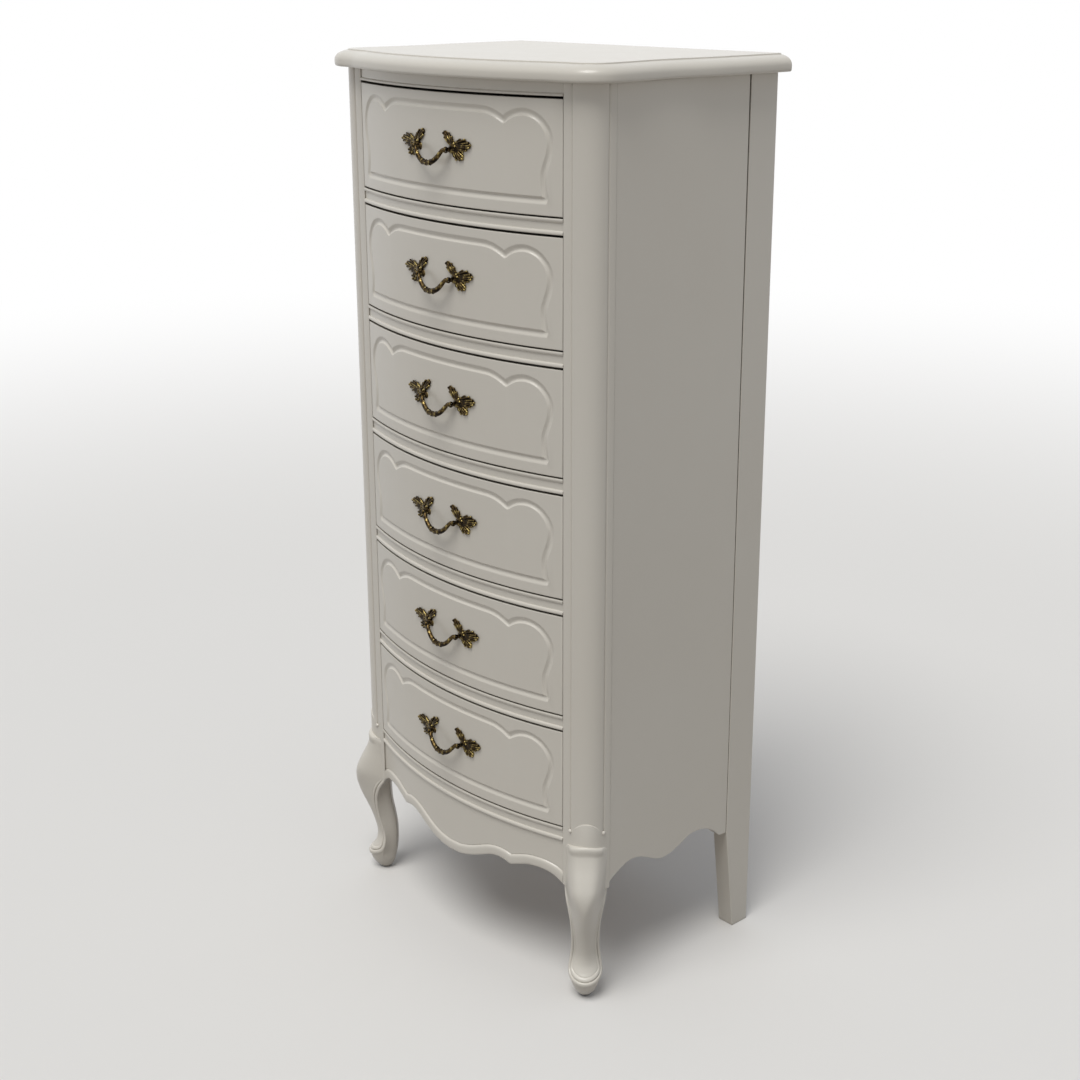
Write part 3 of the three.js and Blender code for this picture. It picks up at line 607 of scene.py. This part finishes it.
def add_collar(mesh, side):
    """The raised collar round the column under an arched lip that dies out at a nub on either side."""
    lip = [(1.0, -0.0013), (0.75, -0.0004), (0.25, 0)]
    rings = []
    for i, (place, way) in enumerate(quarter_column()):
        rise = max(math.sin(math.pi * i / column_steps), 0)
        top = collar_shoulder + arch_rise * rise ** arch_fullness
        proud = collar_proud * rise ** collar_fullness
        section = [(0.0, collar_bottom), (1.0, collar_bottom)] + [(share, top + dz) for share, dz in lip]
        ring = [(place + way * (proud * share), z) for share, z in section]
        ring += [(place - way * collar_root, z) for z in (top, collar_bottom)]
        rings.append([(side * spot.x, front_plane + spot.y, z) for spot, z in ring])
    add_skin(mesh, rings)
    front_nub = (column_x - quirk_width / 2, nub_sink)
    side_nub = (case_half_width - nub_sink, column_y + quirk_width / 2)
    for x, y in (front_nub, side_nub):
        spot = Matrix.Translation((side * x, front_plane + y, collar_shoulder))
        bmesh.ops.create_uvsphere(mesh, u_segments=20, v_segments=12, radius=nub_radius, matrix=spot)


for side, hand in hands:
    post = bmesh.new()
    add_leg(post, side)
    add_post_shaft(post, side)
    add_collar(post, side)
    set_on_case(painted_mesh(f"cabriole_post_{hand}", post, post_crisp), f"front_post_{hand}")

# Rear posts: plain square sticks at the back corners. Below the side panel each tapers on its front face to a
# small foot. The arrises are just broken with sandpaper.
rear_post_width, rear_post_depth, rear_foot_depth = 0.028, 0.053, 0.033
taper_height = 0.172
soft_arris = 0.0009
flat_crisp = 15
rear_outline = [(case_depth - rear_foot_depth, 0), (case_depth, 0), (case_depth, case_top),
                (case_depth - rear_post_depth, case_top), (case_depth - rear_post_depth, taper_height)]


def flat_board(name, outline, inner, outer, side, all_round):
    """A board of one outline from its inner to its outer face, with some or all of its arrises broken."""
    mesh = bmesh.new()
    add_skin(mesh, [[(side * x, front_plane + y, z) for y, z in outline] for x in (inner, outer)])
    bmesh.ops.recalc_face_normals(mesh, faces=mesh.faces)
    rim = [edge for face in mesh.faces if len(face.verts) > 4 for edge in face.edges]
    broken = mesh.edges[:] if all_round else rim
    bmesh.ops.bevel(mesh, geom=broken, offset=soft_arris, segments=2, affect="EDGES", profile=0.5)
    return painted_mesh(name, mesh, flat_crisp)


for side, hand in hands:
    rear_post = flat_board(f"tapered_rear_post_{hand}", rear_outline, case_half_width - rear_post_width,
                           case_half_width, side, True)
    set_on_case(rear_post, f"rear_post_{hand}")

# Side panels: one wide board each side, set between the posts a shade behind their faces. Its lower edge is
# band-sawn in waves. An open joint shows before the rear post, widest at the top, where the board has shrunk.
side_thickness, side_setback = 0.018, 0.001
joint_gap_top, joint_gap_bottom, panel_clearance = 0.0019, 0.0004, 0.0003
side_wave = in_metres([(0, 183.7), (18, 194.5), (40, 202.9), (63, 200.3), (99, 183.3), (122, 182),
                       (147, 189.6), (167, 197.9), (187, 198.3), (205, 193.5), (221, 183.6),
                       (231.5, 173.3), (240, 171.7), (247.9, 171.5)])


def smooth_path(points, steps):
    """Points on a smooth curve through the given ones, evenly many between each pair."""
    path = []
    last = len(points) - 1
    for i in range(last):
        p0, p1, p2, p3 = (Vector(points[min(max(k, 0), last)]) for k in (i - 1, i, i + 1, i + 2))
        for s in range(steps):
            t = s / steps
            path.append(0.5 * (2 * p1 + (p2 - p0) * t + (2 * p0 - 5 * p1 + 4 * p2 - p3) * t * t
                               + (3 * p1 - p0 - 3 * p2 + p3) * t ** 3))
    path.append(Vector(points[last]))
    return path


side_front = post_depth + panel_clearance
side_back = case_depth - rear_post_depth
side_top = case_top - panel_clearance
side_outer = case_half_width - side_setback
side_outline = [(min(p.x + side_front, side_back - joint_gap_bottom), p.y) for p in smooth_path(side_wave, 6)]
side_outline += [(side_back - joint_gap_top, side_top), (side_front, side_top)]
for side, hand in hands:
    panel = flat_board(f"waved_side_panel_{hand}", side_outline, side_outer - side_thickness, side_outer,
                       side, False)
    set_on_case(panel, f"side_panel_{hand}")

# Rails and frieze: bowed sticks between the front posts, one under each drawer and one under the top. Each
# rail is run with a round bead along both edges and a shallow hollow between; the frieze has one small bead.
rail_height, rail_depth = 0.021, 0.022
rail_bead, rail_bead_proud, rail_hollow = 0.0055, 0.0016, 0.0018
frieze_bead, frieze_setback = 0.004, 0.0015
rail_clearance = 0.0001
rail_half_width = half_opening - rail_clearance
bow_stations = 44
bead_steps = 9


def bead_places(bottom, height, sink_below, sink_above):
    """Places up a round bead: how far it stands before the bow, and the height."""
    places = []
    for i in range(bead_steps + 1):
        share = i / bead_steps
        turn = math.pi * share
        sink = sink_below + (sink_above - sink_below) * share
        places.append((rail_bead_proud * math.sin(turn) - sink, bottom + height * (1 - math.cos(turn)) / 2))
    return places


def bowed_rail(name, profile):
    rings = []
    for i in range(bow_stations + 1):
        x = rail_half_width * (2 * i / bow_stations - 1)
        ring = [(x, bow(x) - proud, z) for proud, z in profile]
        rings.append(ring + [(x, front_plane + rail_depth, profile[end][1]) for end in (-1, 0)])
    return skin(name, rings)


for node in [f"drawer_rail_{n}" for n in range(1, 6)] + ["bottom_rail"]:
    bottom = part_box(node)[0].z
    lower = bead_places(bottom, rail_bead, 0, rail_hollow)
    upper = bead_places(bottom + rail_height - rail_bead, rail_bead, rail_hollow, 0)
    set_on_case(bowed_rail(f"beaded_{node}", lower + upper), node)

frieze_bottom, frieze_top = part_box("frieze_rail")[0].z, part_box("frieze_rail")[1].z
frieze_profile = bead_places(frieze_bottom, frieze_bead, 0, frieze_setback) + [(-frieze_setback, frieze_top)]
set_on_case(bowed_rail("beaded_frieze", frieze_profile), "frieze_rail")

# Apron: a bowed board under the bottom rail, band-sawn to a scalloped edge with a deep lobe in the middle. A
# rounded band is carved along that edge and stands a little proud of the flat above it.
apron_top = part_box("apron")[1].z
apron_thickness = 0.020
band_width, band_proud = 0.0140, 0.0024
band_quirk_width, band_quirk_depth = 0.0016, 0.0007
band_round_start, band_edge_round, band_edge_lift = 0.0080, 0.0024, 0.3
band_places = [0.0006, 0.0014, 0.0024, 0.0050, 0.0080, 0.0100, 0.0116, 0.0128, 0.0136, 0.0140, 0.0148,
               0.0156, 0.0166]
past_edge = 0.01
apron_lobes = in_metres([(216, 175.5), (201, 186), (182, 190.5), (160, 189.5), (143, 184.5), (127, 179)])
apron_middle = in_metres([(127, 179), (108, 183.5), (90, 181.5), (70, 173.5), (48, 164.5), (24, 158),
                          (0, 156)])


def nearest(places, u, v):
    """How far a point lies from a line of places."""
    best = 1.0
    for (ax, az), (bx, bz) in zip(places, places[1:]):
        dx, dz = bx - ax, bz - az
        length = dx * dx + dz * dz
        t = min(max(((u - ax) * dx + (v - az) * dz) / length, 0), 1) if length else 0
        best = min(best, math.hypot(u - ax - t * dx, v - az - t * dz))
    return best


def offset_line(places, distance):
    """The line moved to its left by a distance, corner by corner."""
    moved = []
    for i, (u, v) in enumerate(places):
        before, after = places[max(i - 1, 0)], places[min(i + 1, len(places) - 1)]
        du, dv = after[0] - before[0], after[1] - before[1]
        length = math.hypot(du, dv)
        moved.append((u - distance * dv / length, v + distance * du / length))
    return moved


def carved_board(name, outline, lines, face, thickness, crisp=paint_crisp):
    """A bowed board cut to an outline. Lines are worked into its mesh; the face gives y at (x, z)."""
    points, edges = [], []

    def add_line(places, closed):
        start = len(points)
        points.extend(Vector(p) for p in places)
        edges.extend((start + k, start + k + 1) for k in range(len(places) - 1))
        if closed:
            edges.append((start + len(places) - 1, start))

    add_line(outline, True)
    for places, closed in lines:
        add_line(places, closed)
    low_x, high_x = min(p[0] for p in outline), max(p[0] for p in outline)
    low_z, high_z = min(p[1] for p in outline), max(p[1] for p in outline)
    for i in range(1, bow_stations):
        x = low_x + (high_x - low_x) * i / bow_stations
        add_line([(x, low_z - past_edge), (x, high_z + past_edge)], False)
    flat, _, triangles, *_ = delaunay_2d_cdt(points, edges, [list(range(len(outline)))], 1, same_place)
    mesh = bmesh.new()
    ahead = [mesh.verts.new((p.x, face(p.x, p.y), p.y)) for p in flat]
    behind = [mesh.verts.new((p.x, bow(p.x) + thickness, p.y)) for p in flat]
    for triangle in triangles:
        mesh.faces.new([ahead[k] for k in triangle])
        mesh.faces.new([behind[k] for k in reversed(triangle)])
    mesh.verts.index_update()
    count = len(flat)
    rim = [e for e in mesh.edges if e.is_boundary and all(v.index < count for v in e.verts)]
    mesh.verts.ensure_lookup_table()
    for edge in rim:
        a, b = (v.index for v in edge.verts)
        mesh.faces.new([mesh.verts[a], mesh.verts[b], mesh.verts[b + count], mesh.verts[a + count]])
    for vert in [v for v in mesh.verts if not v.link_faces]:
        mesh.verts.remove(vert)
    return painted_mesh(name, mesh, crisp)


half_edge = smooth_path(apron_lobes, 7)[:-1] + smooth_path(apron_middle, 7)
half_edge = [(min(p.x, rail_half_width), p.y) for p in half_edge]
apron_edge = half_edge + [(-x, z) for x, z in reversed(half_edge[:-1])]
apron_outline = apron_edge + [(-rail_half_width, apron_top), (rail_half_width, apron_top)]
band_lines = [(offset_line(apron_edge, -d), False) for d in band_places]


def apron_face(x, z):
    """The face of the apron: the rounded band along its edge, a quirk above that, then the flat."""
    inward = nearest(apron_edge, x, z)
    flat = bow(x) + band_proud
    if inward >= band_width + band_quirk_width:
        return flat
    if inward >= band_width:
        return flat + band_quirk_depth * math.sin(math.pi * (inward - band_width) / band_quirk_width)
    if inward > band_round_start:
        share = (inward - band_round_start) / (band_width - band_round_start)
        return flat - band_proud * math.sqrt(1 - share ** 2)
    return flat - band_proud + band_edge_lift * band_proud * max(1 - inward / band_edge_round, 0) ** 2


apron = carved_board("scalloped_apron", apron_outline, band_lines, apron_face, apron_thickness)
set_on_case(apron, "apron")

# Drawer fronts: bowed boards with eased edges that fill the openings with a fine gap. A cove is routed in
# each face in a French outline: straight below, waisted sides, a lobe at each upper corner and a flat crown.
front_gap_left, front_gap_right = 0.0017, 0.0006
top_planed_off = 0.0008
front_thickness = 0.019
front_ease, ease_places, front_crisp = 0.0010, (0.0002, 0.0005, 0.0010, 0.0018), 30
groove_half_width, groove_cut, beside_cove = 0.0050, 0.0026, 1.16
groove_right = in_metres([(0, 130.3), (60, 130.3), (92, 130), (106, 127.8), (117, 123.7),
                          (127.5, 118.1)])
groove_lobe = in_metres([(127.5, 118.1), (134, 122.8), (144, 127.4), (156.5, 129.6), (169, 128.1),
                         (181.5, 122.2), (191.5, 112), (196.8, 101), (198, 90), (196, 77), (191.5, 63),
                         (188.5, 52), (188.2, 40), (189.7, 29), (192, 19.5)])
groove_base = in_metres([(192, 19.5), (96, 19.5), (0, 19.5)])
front_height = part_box("drawer_1_front")[1].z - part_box("drawer_1_front")[0].z
front_left, front_right = front_gap_left - half_opening, half_opening - front_gap_right
front_top = front_height - top_planed_off

groove_path = smooth_path(groove_right, 6)[:-1] + smooth_path(groove_lobe, 6)[:-1]
groove_path = [tuple(p) for p in groove_path] + groove_base
groove_closed = groove_path[:-1] + [(-x, z) for x, z in reversed(groove_path[:-1])]
# Depth of the cove at places across it, from its outer wall to its inner one
cove = [(-1.0, 0.0), (-0.85, 0.09), (-0.5, 0.45), (-0.12, 0.84), (0.25, 1.0), (0.5, 0.86), (0.75, 0.42),
        (0.92, 0.08), (1.0, 0.0)]


def inside_loop(loop, u, v):
    inside = False
    for (ax, az), (bx, bz) in zip(loop, loop[1:]):
        if (az > v) != (bz > v) and u < (bx - ax) * (v - az) / (bz - az) + ax:
            inside = not inside
    return inside


def drawer_face(x, z):
    """The face of a drawer front: the bow, with the cove cut into it and its edges eased."""
    depth = 0.0
    distance = nearest(groove_closed, x, z)
    if distance < groove_half_width:
        place = distance / groove_half_width * (1 if inside_loop(groove_closed, x, z) else -1)
        depth = groove_cut * straight_along(cove, place)
    border = min(z, front_top - z, x - front_left, front_right - x)
    if border < front_ease:
        eased_back = front_ease - math.sqrt(max(front_ease ** 2 - (front_ease - border) ** 2, 0))
        depth = max(depth, eased_back)
    return bow(x) + depth


def drawer_board():
    border = [(front_left, 0), (front_right, 0), (front_right, front_top), (front_left, front_top)]
    lines = []
    for inset in ease_places:
        left, right, top = front_left + inset, front_right - inset, front_top - inset
        lines.append(([(left, inset), (right, inset), (right, top), (left, top)], True))
    for place in [-beside_cove] + [place for place, _ in cove] + [beside_cove]:
        lines.append((offset_line(groove_closed, -place * groove_half_width)[:-1], True))
    return carved_board("routed_front", border, lines, drawer_face, front_thickness, front_crisp)


routed_front = drawer_board()
for number in range(1, 7):
    data = routed_front.copy()
    data.name = f"routed_front_{number}"
    data.transform(Matrix.Translation((0, 0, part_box(f"drawer_{number}_front")[0].z)))
    set_in_place(data, f"drawer_{number}", f"drawer_{number}_front")

# Drawer boxes: sides and back of pale poplar with the drawer's own thin bottom panel slid into a groove, all
# bare inside and rubbed smooth. The dust boards and the back rails are the same wood; the back is hardboard.
box_tints = (0.62, 0.48, 0.31, 1), (0.52, 0.38, 0.23, 1)
board_tints = (0.55, 0.41, 0.26, 1), (0.40, 0.28, 0.16, 1)
hardboard_tints = (0.27, 0.16, 0.085, 1), (0.17, 0.095, 0.05, 1)
growth_rings = {"Scale": 1.1, "Distortion": 2.4, "Detail": 3, "Detail Scale": 0.7}
fibre_noise = (26, 6)
grain_strength, grain_depth = 0.3, 0.0003
dark_grain, light_grain = 0.25, 0.75
box_ease, bottom_ease, board_ease = 0.0008, 0.0004, 0.0005
eased_above = math.radians(40)


def blend_values(tree, base, output, texture, share):
    """A value blended with a share of a texture."""
    blend = add_node(tree, "ShaderNodeMix", {"Factor": share})
    blend.data_type = "FLOAT"
    wire(base, output, blend, 2)
    wire(texture, "Fac", blend, 3)
    return blend


def bare_wood(name, tints, stretched, sheen_ends, fibre_share=0.55):
    """Bare wood in a light and a dark tint, its grain the longest where its stretch is least."""
    finish, tree, shader = new_finish(name)
    place = tree.nodes.new("ShaderNodeTexCoord")
    stretch = add_node(tree, "ShaderNodeMapping", {"Scale": stretched})
    wire(place, "Object", stretch, "Vector")
    rings = add_node(tree, "ShaderNodeTexWave", growth_rings)
    rings.bands_direction = "Z"
    wire(stretch, "Vector", rings, "Vector")
    fibres = noise(tree, stretch, "Vector", *fibre_noise)
    grain = blend_values(tree, rings, "Fac", fibres, fibre_share)
    tint = colour_ramp(tree, grain, 0, [(dark_grain, tints[1]), (light_grain, tints[0])])
    wire(tint, "Color", shader, "Base Color")
    vary_sheen(tree, fibres, "Fac", (0, 1, *sheen_ends), shader)
    raise_surface(tree, fibres, grain_strength, grain_depth, shader)
    return finish


def finish_node(node, finish, ease):
    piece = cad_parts[node]
    piece.data.materials.clear()
    piece.data.materials.append(finish)
    soften = piece.modifiers.new("eased_arrises", "BEVEL")
    soften.width = ease
    soften.segments = 2
    soften.limit_method = "ANGLE"
    soften.angle_limit = eased_above


poplar = bare_wood("bare_poplar", box_tints, (14, 1.0, 14), (0.5, 0.68))
poplar_deep = bare_wood("poplar_boards", board_tints, (1.0, 10, 14), (0.55, 0.72))
hardboard = bare_wood("hardboard", hardboard_tints, (7, 7, 7), (0.55, 0.72), 1.0)
for number in range(1, 7):
    finish_node(f"drawer_{number}_box", poplar, box_ease)
    finish_node(f"drawer_{number}_bottom", poplar_deep, bottom_ease)
    finish_node(f"dust_board_{number}", poplar_deep, board_ease)
for node in ("back_rail_upper", "back_rail_lower"):
    finish_node(node, poplar_deep, box_ease)
finish_node("back_panel", hardboard, board_ease)

# Pulls: cast and antiqued brass. On each side a rosette of three ribbed leaves with beaded tips is pinned to
# the drawer; a bail hangs between their eyes, thick in the middle, where it carries a cluster of beads.
rosette_x, rosette_rise, rosette_sink = 0.040, 0.005, 0.0002
pull_rise, pull_standoff = front_height / 2, 0.008
boss, boss_height = (0.0066, 0.0062, 0.0036), 0.0012
boss_beads, boss_ring, boss_bead, boss_bead_height = 7, (0.0050, 0.0046), 0.0014, 0.0030
ear_x, ear_ring, ear_wire, ear_flare = 0.0338, 0.0031, 0.0013, 1.5
stem_steps, stem_foot_width, stem_waist, stem_waist_turn, stem_thickness = 9, 0.0058, 0.0028, 0.60, 0.0014
stem_bite = 0.4
ring_steps, wire_steps = 28, 10
eye_x, bail_drop, bail_swell = 0.0290, 0.0186, 0.0063
bail_steps, bail_radius, bail_growth, knuckle = 64, 0.0025, 0.0012, 0.0025
bail_forward_squareness, bail_drop_squareness = 0.8, 2.3
pin_radius, pin_inset, pin_reach, knuckle_inset = 0.0015, 0.0012, 0.0348, 0.0004
# The two collars on each arm of the bail: turn from its middle, and radius; then their thickness and lean
bail_collars, collar_thickness, collar_lean = ((0.15, 0.0038), (0.28, 0.0045)), 0.0013, 0.15
cluster, cluster_beads, cluster_ring = (0.0034, 0.0038, 0.0038), 8, 0.0033
cluster_bead = (0.0014, 0.0012, 0.0012)
casting_grain, rosette_smoothing, bail_smoothing = 0.0004, 0.4, 0.5
# The leaves of the right-hand rosette: turn on the drawer, length, breadth, ribs and bend to one side; then,
# in shares of a leaf, where its blade and ribs begin, how they swell and how they end
leaves = [(0.18, 0.0342, 0.0174, 5, -0.10), (2.18, 0.0268, 0.0138, 4, 0.22), (-0.82, 0.0250, 0.0198, 5, 0.06)]
blade_steps, blade_thickness, blade_height = 7, 0.0011, 0.0003
blade_start, blade_run, blade_lump, blade_fill = 0.06, 0.76, 0.13, 0.84
leaf_foot, leaf_swell, leaf_squareness = 0.13, 0.80, 0.8
root_place, root_spread, rib_swell_foot, rib_swell = 0.03, 0.12, 0.05, 0.86
middle_bead, bead_loss = 1.12, 0.28
rib_steps, rib_radius, rib_growth, rib_height, rib_arch, rib_bead = 7, 0.0008, 0.0005, 0.0010, 0.0014, 0.0018
outer_rib_loss, rib_loss_curve, short_rib_side, short_rib_length = 0.27, 1.5, 1.04, 0.47
# The brightest step is rubbed brass and painted glints at once: near-white yellow on the highest points
rubbed_brass_and_glint = (0.96, 0.82, 0.46, 1)
brass_worn = (0.42, 0.33, 0.12, 1)
brass_dull = (0.075, 0.050, 0.020, 1)
brass_dark = (0.009, 0.006, 0.004, 1)
brass_steps = [(0.482, brass_dark), (0.522, brass_dull), (0.560, brass_worn), (0.605, rubbed_brass_and_glint)]
brass_sheen = (0.46, 0.58, 0.42, 0.13)
tarnish_noise, tarnish_share = (180, 4), 0.20


def antique_brass():
    """Brass that is rubbed bright where it stands out, with painted glints on its highest points, and dark
    where it lies deep.
    """
    finish, tree, shader = new_finish("antique_brass")
    shader.inputs["Metallic"].default_value = 1
    shape = tree.nodes.new("ShaderNodeNewGeometry")
    place = tree.nodes.new("ShaderNodeTexCoord")
    tarnish = noise(tree, place, "Object", *tarnish_noise)
    height = blend_values(tree, shape, "Pointiness", tarnish, tarnish_share)
    tint = colour_ramp(tree, height, 0, brass_steps)
    wire(tint, "Color", shader, "Base Color")
    vary_sheen(tree, height, 0, brass_sheen, shader)
    return finish


def add_lump(mesh, frame_of, place, half_size, turn=0.0):
    """A rounded lump of the casting, turned in the plane of the leaf it belongs to."""
    where = frame_of @ Matrix.LocRotScale(Vector(place), Euler((0, 0, turn)), Vector(half_size))
    bmesh.ops.create_uvsphere(mesh, u_segments=16, v_segments=10, radius=1, matrix=where)


def add_rod(mesh, points, radii, sides=14):
    """A round rod of changing thickness along a line of points."""
    points = [Vector(p) for p in points]
    rings = []
    guide = Vector((0, 1, 0))
    for i, point in enumerate(points):
        ahead = (points[min(i + 1, len(points) - 1)] - points[max(i - 1, 0)]).normalized()
        across = ahead.cross(guide).normalized()
        guide = across.cross(ahead).normalized()
        rings.append([point + radii[i] * (math.cos(turn) * across + math.sin(turn) * guide)
                      for turn in full_turns(sides)])
    add_skin(mesh, rings)


def add_leaf(mesh, rosette_frame, turn, reach, breadth, ribs, bend):
    """A leaf: a dished blade under a fan of ribs with a bead at the end of each, and a short rib beside."""
    leaf_frame = rosette_frame @ Matrix.Rotation(turn, 4, "Z")

    def spine(share):
        return Vector((reach * share, bend * reach * share * share, 0))

    def half_breadth(share):
        return breadth / 2 * math.sin(math.pi * min(leaf_foot + leaf_swell * share, 1)) ** leaf_squareness

    for i in range(blade_steps):
        share = blade_start + blade_run * i / (blade_steps - 1)
        half_size = (reach * blade_lump, half_breadth(share) * blade_fill, blade_thickness)
        add_lump(mesh, leaf_frame, spine(share) + Vector((0, 0, blade_height)), half_size)
    sides = [2 * k / (ribs - 1) - 1 for k in range(ribs)]
    fan = [(side, 1 - outer_rib_loss * abs(side) ** rib_loss_curve) for side in sides]
    fan += [(side * short_rib_side, short_rib_length) for side in (-1, 1)]
    for side, length in fan:
        bead = rib_bead * (middle_bead - bead_loss * abs(side))
        root = spine(root_place) + Vector((0, side * breadth * root_spread, 0))
        end = spine(length - bead / reach) + Vector((0, side * (breadth / 2 - bead), 0))
        points, radii = [], []
        for i in range(rib_steps):
            share = i / (rib_steps - 1)
            rise = rib_height + rib_arch * math.sin(math.pi * min(share * rib_swell + rib_swell_foot, 1))
            points.append(leaf_frame @ (root + (end - root) * share + Vector((0, 0, rise))))
            radii.append(rib_radius + rib_growth * share)
        add_rod(mesh, points, radii)
        add_lump(mesh, leaf_frame, end + Vector((0, 0, rib_arch)), (bead, bead, bead))


def cast_rosette():
    """The right-hand rosette, in place on a drawer whose pull is at height zero."""
    tilt = math.atan(2 * bow_depth * rosette_x / half_opening ** 2)
    seat = Matrix.Translation((rosette_x, bow(rosette_x) - rosette_sink, rosette_rise))
    seat = seat @ Matrix.Rotation(tilt, 4, "Z") @ Matrix.Rotation(math.pi / 2, 4, "X")
    mesh = bmesh.new()
    for leaf in leaves:
        add_leaf(mesh, seat, *leaf)
    add_lump(mesh, seat, (0, 0, boss_height), boss)
    for turn in full_turns(boss_beads):
        bead = (boss_ring[0] * math.cos(turn), boss_ring[1] * math.sin(turn), boss_bead_height)
        add_lump(mesh, seat, bead, (boss_bead, boss_bead, boss_bead))
    eye_y = bow(0) - pull_standoff
    stem_foot = bow(ear_x)
    for i in range(stem_steps):
        share = i / (stem_steps - 1)
        y = stem_foot + (eye_y + ear_ring + ear_wire * stem_bite - stem_foot) * share
        width = stem_foot_width - stem_waist * math.sin(math.pi * share * stem_waist_turn)
        add_lump(mesh, Matrix.Identity(4), (ear_x, y, 0), (width, stem_thickness, width))
    eye = Vector((ear_x, eye_y, 0))
    rings = []
    for turn in full_turns(ring_steps):
        middle = Vector((0, math.cos(turn), math.sin(turn)))
        rings.append([eye + middle * (ear_ring + ear_wire * math.cos(roll))
                      + Vector((ear_flare * ear_wire * math.sin(roll), 0, 0))
                      for roll in full_turns(wire_steps)])
    add_skin(mesh, rings, looped=True)
    return mesh


def cast_in_one(name, mesh, ease):
    """Runs the lumps of a casting together into one skin, and softens it."""
    rough = bpy.data.meshes.new(name)
    mesh.to_mesh(rough)
    mesh.free()
    holder = add_object(name, rough)
    melt = holder.modifiers.new("melt", "REMESH")
    melt.mode = "VOXEL"
    melt.voxel_size = casting_grain
    soften = holder.modifiers.new("soften", "SMOOTH")
    soften.factor = ease
    soften.iterations = 2
    bpy.context.view_layer.update()
    evaluated = holder.evaluated_get(bpy.context.evaluated_depsgraph_get())
    data = bpy.data.meshes.new_from_object(evaluated)
    bpy.data.objects.remove(holder)
    bpy.data.meshes.remove(rough)
    data.name = name
    data.polygons.foreach_set("use_smooth", [True] * len(data.polygons))
    return data


def bail_place(turn):
    """A place on the bail's middle line: its arms come forward from the eyes and slope down to the middle."""
    across, round_share = math.cos(turn), max(math.sin(turn), 0)
    forward = bail_swell * round_share ** bail_forward_squareness
    return Vector((eye_x * across, -forward, -bail_drop * (1 - abs(across) ** bail_drop_squareness)))


def cast_bail():
    """The bail about the line of its pins: two tapered arms, a beaded cluster in the middle and two pins."""
    mesh = bmesh.new()
    turns = [math.pi * i / bail_steps for i in range(bail_steps + 1)]
    radii = [bail_radius + bail_growth * max(math.sin(turn), 0) for turn in turns]
    add_rod(mesh, [bail_place(turn) for turn in turns], radii)
    still = Matrix.Identity(4)
    for side in (-1, 1):
        pin = [(side * (eye_x - pin_inset), 0, 0), (side * pin_reach, 0, 0)]
        add_rod(mesh, pin, [pin_radius, pin_radius])
        add_lump(mesh, still, (side * (eye_x - knuckle_inset), 0, 0), (knuckle, knuckle, knuckle))
        for turn, size in bail_collars:
            place = bail_place(math.pi / 2 - side * turn)
            add_lump(mesh, still, place, (collar_thickness, size, size), side * collar_lean)
    bottom = bail_place(math.pi / 2)
    add_lump(mesh, still, bottom, cluster)
    for turn in full_turns(cluster_beads):
        bead = bottom + Vector((0, cluster_ring * math.cos(turn), cluster_ring * math.sin(turn)))
        add_lump(mesh, still, bead, cluster_bead)
    return mesh


brass = antique_brass()
right_rosette = cast_in_one("rosette", cast_rosette(), rosette_smoothing)
right_rosette.materials.append(brass)
left_rosette = right_rosette.copy()
left_rosette.transform(Matrix.Diagonal((-1, 1, 1, 1)))
left_rosette.flip_normals()
bail_mesh = cast_in_one("bail", cast_bail(), bail_smoothing)
bail_mesh.materials.append(brass)
for number in range(1, 7):
    drawer = f"drawer_{number}"
    pull_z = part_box(f"{drawer}_front")[0].z + pull_rise
    for hand, data in (("right", right_rosette), ("left", left_rosette)):
        set_in_place(data, drawer, f"{drawer}_rosette_{hand}",
                     f"leafy_rosette_{number}_{hand}", (0, 0, pull_z))
    set_in_place(bail_mesh, f"bail_{number}", f"{drawer}_bail",
                 f"beaded_bail_{number}", (0, bow(0) - pull_standoff, pull_z))
